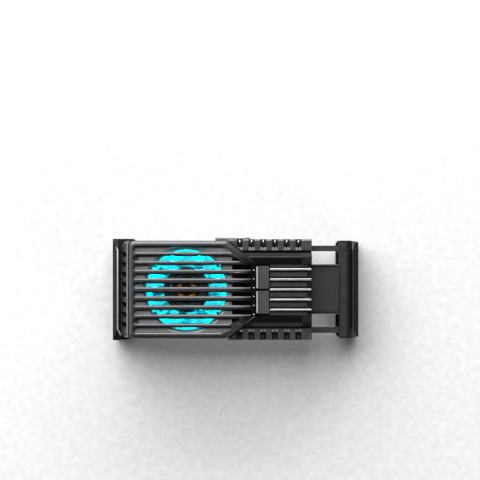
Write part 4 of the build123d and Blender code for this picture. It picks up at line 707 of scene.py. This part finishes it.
def bushing_finish(tints):
    """Turned metal with a bright ring, dark inside and outside it."""
    bushing = brushed("bushing_copper", tints.copper, 0.34, (1, 1, 12), 0.45)
    tree = bushing.node_tree
    ring = add_between(tree, add_radius(tree), *BRIGHT_RING)
    target = tree.nodes["Principled BSDF"].inputs["Base Color"]
    bright = target.links[0].from_socket
    tree.links.new(add_mix(tree, ring, shade_of(tints.copper, 0.04), bright), target)
    return bushing


def fan_finish(glow):
    """A smoked hub with rings of colour, some of them painted light, and clear blades with a painted
    glow, darker on their steep faces.
    """
    fan = lit("fan_plastic", glow.core, glow.shade, glow.strength)
    tree = fan.node_tree
    shader = tree.nodes["Principled BSDF"]
    target = shader.inputs["Emission Color"]
    core = target.links[0].from_socket
    steep = add_fall(tree, add_facing(tree, (0.0, 0.0, 1.0)), 0.66, 0.72)
    tree.links.new(add_mix(tree, steep, core, glow.edge), target)
    radius = add_radius(tree)
    # Painted glow on the blades, beyond the hub
    painted_glow = add_range(tree, radius, 0.0, glow.strength, glow.hub, glow.hub + 0.15 * MM)
    tree.links.new(painted_glow, shader.inputs["Emission Strength"])
    tree.links.new(add_ramp(tree, radius, HUB_RINGS, HUB_REACH), shader.inputs["Base Color"])
    shader.inputs["Roughness"].default_value = 0.22
    return fan


# Modelling helpers


def clear_selection():
    """Leaves object mode with nothing selected."""
    if bpy.context.object is not None and bpy.context.object.mode != "OBJECT":
        bpy.ops.object.mode_set(mode="OBJECT")
    bpy.ops.object.select_all(action="DESELECT")


def apply_modifiers(piece):
    """Applies every modifier of a piece, in order."""
    bpy.context.view_layer.objects.active = piece
    for modifier in list(piece.modifiers):
        bpy.ops.object.modifier_apply(modifier=modifier.name)


def join(pieces, name):
    """Joins pieces into one with its place in its mesh."""
    clear_selection()
    for piece in pieces:
        piece.select_set(True)
    bpy.context.view_layer.objects.active = pieces[0]
    bpy.ops.object.join()
    bpy.ops.object.transform_apply(location=True, rotation=True, scale=True)
    piece = bpy.context.object
    piece.name = name
    return piece


def wire_ring(section, place, turn):
    """A round wire section, ready to be spun or screwed."""
    clear_selection()
    bpy.ops.mesh.primitive_circle_add(
        vertices=WIRE_SIDES, radius=section / 2, location=place, rotation=turn
    )
    return bpy.context.object


def spring_helix(x0, x1, y, z, sizes):
    """The wound body of a spring between two places along X."""
    ring = wire_ring(sizes.wire, (x0, y, z + sizes.coil / 2), (pi / 2, 0.0, 0.0))
    bpy.ops.object.transform_apply(location=True, rotation=True, scale=True)
    clear_selection()
    ring.select_set(True)
    bpy.context.scene.cursor.location = (x0, y, z)
    bpy.ops.object.origin_set(type="ORIGIN_CURSOR")
    bpy.ops.object.modifier_add(type="SCREW")
    screw = ring.modifiers[-1]
    screw.axis = "X"
    screw.steps = TURN_STEPS
    screw.render_steps = TURN_STEPS
    screw.iterations = sizes.turns
    screw.screw_offset = (x1 - x0) / sizes.turns
    screw.use_smooth_shade = True
    apply_modifiers(ring)
    return ring


def spring_end(x, y, z, side, sizes):
    """The eye round a peg and the hook that joins it to the coil; side is 1 towards +X."""
    clear_selection()
    bpy.ops.mesh.primitive_torus_add(
        major_radius=sizes.eye / 2, minor_radius=sizes.wire / 2, major_segments=EYE_STEPS,
        minor_segments=WIRE_SIDES, location=(x, y, z),
    )
    eye = bpy.context.object
    bpy.ops.object.shade_smooth()
    hook_x = x + side * sizes.eye / 2
    hook = wire_ring(sizes.wire, (hook_x, y, z + sizes.coil / 2), (0.0, pi / 2, 0.0))
    bpy.ops.object.mode_set(mode="EDIT")
    bpy.ops.mesh.select_all(action="SELECT")
    bpy.ops.mesh.spin(
        steps=HOOK_STEPS, angle=-side * pi, center=(hook_x, y, z + sizes.coil / 4), axis=(0.0, 1.0, 0.0)
    )
    bpy.ops.mesh.select_all(action="SELECT")
    bpy.ops.mesh.normals_make_consistent(inside=False)
    bpy.ops.object.mode_set(mode="OBJECT")
    bpy.ops.object.shade_smooth()
    return [eye, hook]


def moved(point, step):
    """A point moved by a step."""
    return tuple(place + change for place, change in zip(point, step))


def bead(name, points, radius, finish):
    """A round bead through some points, as a closed mesh."""
    clear_selection()
    bpy.ops.mesh.primitive_circle_add(
        vertices=BEAD_SIDES, radius=radius, fill_type="NGON", location=points[0],
        rotation=(pi / 2, 0.0, 0.0),
    )
    piece = bpy.context.object
    piece.name = name
    bpy.ops.object.mode_set(mode="EDIT")
    bpy.ops.mesh.select_all(action="SELECT")
    for before, after in zip(points, points[1:]):
        step = [b - a for a, b in zip(before, after)]
        bpy.ops.mesh.extrude_region_move(TRANSFORM_OT_translate={"value": step})
    bpy.ops.mesh.select_all(action="SELECT")
    bpy.ops.mesh.normals_make_consistent(inside=False)
    bpy.ops.object.mode_set(mode="OBJECT")
    bpy.ops.object.transform_apply(location=True, rotation=True, scale=True)
    bpy.ops.object.shade_smooth_by_angle(angle=BEAD_SMOOTH)
    piece.data.materials.append(finish)
    return piece


def domed_pin(place, radius, height):
    """A short pin with a domed head, standing on a point."""
    clear_selection()
    bpy.ops.mesh.primitive_cylinder_add(
        vertices=PIN_SIDES, radius=radius, depth=height, location=moved(place, (0.0, 0.0, height / 2))
    )
    pin = bpy.context.object
    bpy.ops.object.mode_set(mode="EDIT")
    bpy.ops.mesh.select_all(action="DESELECT")
    mesh = bmesh.from_edit_mesh(pin.data)
    for edge in mesh.edges:
        edge.select = all(vert.co.z > 0 for vert in edge.verts)
    bmesh.update_edit_mesh(pin.data)
    bpy.ops.mesh.bevel(offset=radius * DOME, segments=DOME_STEPS, affect="EDGES")
    bpy.ops.object.mode_set(mode="OBJECT")
    bpy.ops.object.shade_smooth_by_angle(angle=PIN_SMOOTH)
    return pin


def area_light(name, place, turn, width, depth, watts):
    """A soft light of that size, turned from straight down and hidden from the camera."""
    light = bpy.data.lights.new(name, "AREA")
    light.shape = "RECTANGLE"
    light.size = width
    light.size_y = depth
    light.energy = watts
    lamp = bpy.data.objects.new(name, light)
    bpy.context.collection.objects.link(lamp)
    lamp.location = place
    lamp.rotation_euler = [radians(angle) for angle in turn]
    lamp.visible_camera = False


# Operators


class PADBUILD_OT_housing(bpy.types.Operator):
    """Finishes the shell, the cover, the shroud, the arm and the jaws"""

    bl_idname = "padbuild.housing"
    bl_label = "Housing"

    def execute(self, context):
        tints = context.scene.pad_finishes
        dress(shell_finish(tints), "base_shell")
        dress(jaw_finish(tints), "fixed_jaw", "moving_jaw")
        dress(cover_finish(tints), "front_cover", "jaw_cap")
        dress(grained("shroud_plastic", tints.shroud, 0.36, MATT_GRAIN, metal=0.5), "fan_shroud")
        dress(rib_finish(tints), "rib_insert")
        dress(badge_finish(tints), "badge_upper", "badge_lower")
        dress(arm_finish(tints), "slide_arm")
        dress(grained("jaw_rubber", tints.rubber, 0.8, 3000.0, 0.3), "fixed_jaw_pad", "moving_jaw_pad")
        return {"FINISHED"}


class PADBUILD_OT_inside(bpy.types.Operator):
    """Finishes the cooling stack, the motor, the board and the fasteners"""

    bl_idname = "padbuild.inside"
    bl_label = "Inner pieces"

    def execute(self, context):
        tints = context.scene.pad_finishes
        dress(grained("pad_silicone", tints.silicone, 0.6, 2500.0, 0.2), "contact_pad")
        dress(brushed("aluminium", colour(0.72, 0.73, 0.74), 0.34, (0.05, 1, 1)), "cold_plate")
        # The fins' teal colour is painted cyan light from the fan
        dress(brushed("fins_painted_cyan", colour(0.10, 0.42, 0.50), 0.42, (1, 0.05, 1)), "heatsink")
        dress(grained("module_ceramic", colour(0.80, 0.79, 0.76), 0.55), "cold_ceramic", "hot_ceramic")
        dress(brushed("pellet_alloy", colour(0.42, 0.43, 0.46), 0.5, (1, 1, 0.2)), "module_pellets")
        dress(grained("foam", colour(0.03, 0.03, 0.03), 0.9, 1800.0, 0.8, 0.1 * MM), "foam_gasket")
        dress(bore_finish(context.scene.pad_glow), "fan_frame")
        dress(brushed("core_steel", colour(0.40, 0.40, 0.42), 0.4, (1, 1, 30)), "stator_core")
        dress(brushed("copper_wire", tints.copper, 0.3, (1, 1, 12)), "stator_coils")
        dress(bushing_finish(tints), "hub_bushing", "bearing_sleeve")
        dress(grained("magnet", colour(0.04, 0.04, 0.043), 0.6), "rotor_magnet")
        dress(brushed("steel", colour(0.60, 0.61, 0.63), 0.25, (1, 1, 8)), "heatsink_screws")
        dress(
            brushed("screw_steel", colour(0.10, 0.10, 0.105), 0.35, (1, 1, 8)),
            "fan_shaft", "fan_screws", "cover_screws", "jaw_screws", "fixed_jaw_screws",
        )
        dress(grained("board_green", colour(0.012, 0.07, 0.04), 0.3, coat=0.4), "control_board")
        dress(grained("chip_black", colour(0.02, 0.02, 0.02), 0.5), "board_parts")
        dress(brushed("socket_steel", colour(0.60, 0.61, 0.63), 0.28, (1, 0.1, 1)), "inlet_socket")
        dress(grained("tongue_black", colour(0.015, 0.015, 0.015), 0.45), "inlet_tongue")
        dress(brushed("surround_metal", colour(0.40, 0.41, 0.43), 0.3, (0.1, 1, 1)), "inlet_surround")
        dress(grained("lead_red", colour(0.38, 0.02, 0.015), 0.45), "module_leads")
        dress(grained("lead_black", colour(0.015, 0.015, 0.015), 0.45), "fan_leads")
        return {"FINISHED"}


class PADBUILD_OT_springs(bpy.types.Operator):
    """Winds the two springs that pull the sliding jaw"""

    bl_idname = "padbuild.springs"
    bl_label = "Springs"

    def execute(self, context):
        sizes = context.scene.pad_springs
        steel = brushed("spring_steel_wire", colour(0.55, 0.56, 0.58), 0.28, (0.2, 1, 1))
        for node in ("spring_upper", "spring_lower"):
            low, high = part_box(node)
            y = (low[1] + high[1]) / 2
            z = (low[2] + high[2]) / 2
            reach = (high[1] - low[1]) / 2
            peg_in = low[0] + reach
            peg_out = high[0] - reach
            start = peg_in + sizes.eye / 2
            end = peg_out - sizes.eye / 2
            parts = [spring_helix(start, end, y, z, sizes)]
            parts += spring_end(peg_in, y, z, 1, sizes)
            parts += spring_end(peg_out, y, z, -1, sizes)
            spring = join(parts, node + "_coil")
            spring.data.materials.clear()
            spring.data.materials.append(steel)
            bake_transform(spring)
            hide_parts(node)
        return {"FINISHED"}


class PADBUILD_OT_bead(bpy.types.Operator):
    """Adds the light bead of the fixed jaw, a painted highlight along its ridge"""

    bl_idname = "padbuild.bead"
    bl_label = "Jaw bead"

    def execute(self, context):
        sizes = context.scene.pad_trim
        low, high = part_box("fixed_jaw")
        near = (low[0] + BEAD_INSET, -sizes.bead_half, high[2] - BEAD_DEPTH)
        far = (near[0], sizes.bead_half, near[2])
        points = (moved(near, BEAD_NEAR_STEP), near, far, moved(far, BEAD_FAR_STEP))
        rim = bead("fixed_jaw_bead", points, sizes.bead, edge_highlight_finish(context.scene.pad_finishes))
        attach(rim, HOUSING)
        return {"FINISHED"}


class PADBUILD_OT_pips(bpy.types.Operator):
    """Adds the pips at the ends of the grille's slots, light pieces that stand for painted glints"""

    bl_idname = "padbuild.pips"
    bl_label = "Grille pips"

    def execute(self, context):
        sizes = context.scene.pad_trim
        tints = context.scene.pad_finishes
        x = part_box("badge_upper")[0][0] - PIP_LEAD
        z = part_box("front_cover")[1][2] - PIP_DEPTH
        spots = [(x, (row - PIP_MIDDLE) * sizes.pip_row, z) for row in range(PIPS)]
        pips = join([domed_pin(spot, sizes.pip, PIP_HEIGHT) for spot in spots], "grille_pips")
        pips.data.materials.append(
            grained("painted_glint", tints.edges, 0.24, SATIN_GRAIN, 0.02, metal=0.8)
        )
        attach(pips, HOUSING)
        return {"FINISHED"}


class PADBUILD_OT_strips(bpy.types.Operator):
    """Adds the light strip of each badge, a painted highlight along its left side"""

    bl_idname = "padbuild.strips"
    bl_label = "Badge strips"

    def execute(self, context):
        sizes = context.scene.pad_trim
        # The strips' light finish is a painted highlight
        highlight = edge_highlight_finish(context.scene.pad_finishes)
        for node in ("badge_upper", "badge_lower"):
            low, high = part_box(node)
            near = (low[0] + STRIP_INSET, low[1] + STRIP_END, high[2] - STRIP_DEPTH)
            far = (near[0], high[1] - STRIP_END, near[2])
            strip = bead(node + "_strip", (near, far), sizes.strip, highlight)
            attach(strip, HOUSING)
        return {"FINISHED"}


class PADBUILD_OT_clips(bpy.types.Operator):
    """Adds the clips round the fan's mouth"""

    bl_idname = "padbuild.clips"
    bl_label = "Mouth clips"

    def execute(self, context):
        sizes = context.scene.pad_trim
        x, y = CLIP_SPOT
        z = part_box("fan_shroud")[0][2] + CLIP_LIFT
        spots = [(side * x, end * y, z) for side in (1, -1) for end in (1, -1)]
        clips = join([domed_pin(spot, sizes.clip, CLIP_HEIGHT) for spot in spots], "mouth_clips")
        clips.data.materials.append(grained("clip_plastic", colour(0.006, 0.035, 0.045), 0.25))
        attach(clips, HOUSING)
        return {"FINISHED"}


class PADBUILD_OT_fan(bpy.types.Operator):
    """Lights the fan"""

    bl_idname = "padbuild.fan"
    bl_label = "Fan"

    def execute(self, context):
        glow = context.scene.pad_glow
        dress(lit("light_board", glow.lamps, glow.lamps, BOARD_GAIN * glow.strength), "light_ring")
        dress(fan_finish(glow), "fan_impeller")
        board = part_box("light_ring")[1]
        reach = board[0] - LAMP_INSET
        for number in range(LAMPS):
            turn = 2 * pi * (number + 0.5) / LAMPS
            light = bpy.data.lights.new("lamp", "POINT")
            light.color = glow.lamps[:3]
            light.energy = glow.lamp_power
            light.shadow_soft_size = LAMP_SIZE
            lamp = bpy.data.objects.new("lamp", light)
            context.collection.objects.link(lamp)
            lamp.location = (reach * cos(turn), reach * sin(turn), board[2] + LAMP_LIFT)
            lamp.visible_camera = False
        return {"FINISHED"}


class PADBUILD_OT_stage(bpy.types.Operator):
    """Adds the floor, the lights and the camera"""

    bl_idname = "padbuild.stage"
    bl_label = "Stage"

    def execute(self, context):
        scene = context.scene
        stage = scene.pad_stage
        low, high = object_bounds()
        clear_selection()
        bpy.ops.mesh.primitive_plane_add(size=stage.floor_size, location=(0, 0, low[2] - FLOOR_GAP))
        floor = context.object
        floor.name = "floor"
        floor.data.materials.append(grained("floor_paint", colour(0.90, 0.90, 0.90), 0.8, 300.0, 0.02))
        floor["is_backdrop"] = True
        area_light("overhead_light", *OVERHEAD_LIGHT, stage.overhead)
        area_light("key_light", *KEY_LIGHT, stage.key)
        area_light("side_light", *SIDE_LIGHT, stage.side)
        area_light("corner_light", *CORNER_LIGHT, stage.corner)
        world = bpy.data.worlds.new("studio")
        world.use_nodes = True
        background = world.node_tree.nodes["Background"]
        background.inputs["Color"].default_value = SKY
        background.inputs["Strength"].default_value = SKY_STRENGTH
        scene.world = world
        camera_data = bpy.data.cameras.new("camera")
        camera = bpy.data.objects.new("camera", camera_data)
        context.collection.objects.link(camera)
        camera.location = (*VIEW_MIDDLE, high[2] + stage.camera_height)
        camera_data.angle = 2 * atan(stage.field / 2 / stage.camera_height)
        camera_data.clip_start, camera_data.clip_end = VIEW_REACH
        scene.camera = camera
        scene.view_settings.view_transform = "Standard"
        return {"FINISHED"}


class PADBUILD_PT_panel(bpy.types.Panel):
    """Lists the steps in the 3D view's sidebar"""

    bl_label = "Cooling pad"
    bl_idname = "PADBUILD_PT_panel"
    bl_space_type = "VIEW_3D"
    bl_region_type = "UI"
    bl_category = "Cooling pad"

    def draw(self, context):
        for step in STEPS:
            self.layout.operator(step.bl_idname)


STEPS = (
    PADBUILD_OT_housing, PADBUILD_OT_inside, PADBUILD_OT_springs, PADBUILD_OT_bead, PADBUILD_OT_pips,
    PADBUILD_OT_strips, PADBUILD_OT_clips, PADBUILD_OT_fan, PADBUILD_OT_stage,
)
CLASSES = (PadFinishes, PadTrim, PadGlow, PadSprings, PadStage) + STEPS + (PADBUILD_PT_panel,)


def register():
    """Registers the classes and their settings."""
    for item in CLASSES:
        bpy.utils.register_class(item)
    bpy.types.Scene.pad_finishes = bpy.props.PointerProperty(type=PadFinishes)
    bpy.types.Scene.pad_trim = bpy.props.PointerProperty(type=PadTrim)
    bpy.types.Scene.pad_glow = bpy.props.PointerProperty(type=PadGlow)
    bpy.types.Scene.pad_springs = bpy.props.PointerProperty(type=PadSprings)
    bpy.types.Scene.pad_stage = bpy.props.PointerProperty(type=PadStage)


def unregister():
    """Removes the settings and the classes."""
    del bpy.types.Scene.pad_stage
    del bpy.types.Scene.pad_springs
    del bpy.types.Scene.pad_glow
    del bpy.types.Scene.pad_trim
    del bpy.types.Scene.pad_finishes
    for item in reversed(CLASSES):
        bpy.utils.unregister_class(item)


def main():
    """Builds every piece in order."""
    register()
    bpy.ops.padbuild.housing()
    bpy.ops.padbuild.inside()
    bpy.ops.padbuild.springs()
    bpy.ops.padbuild.bead()
    bpy.ops.padbuild.pips()
    bpy.ops.padbuild.strips()
    bpy.ops.padbuild.clips()
    bpy.ops.padbuild.fan()
    bpy.ops.padbuild.stage()


if __name__ == "__main__":
    main()
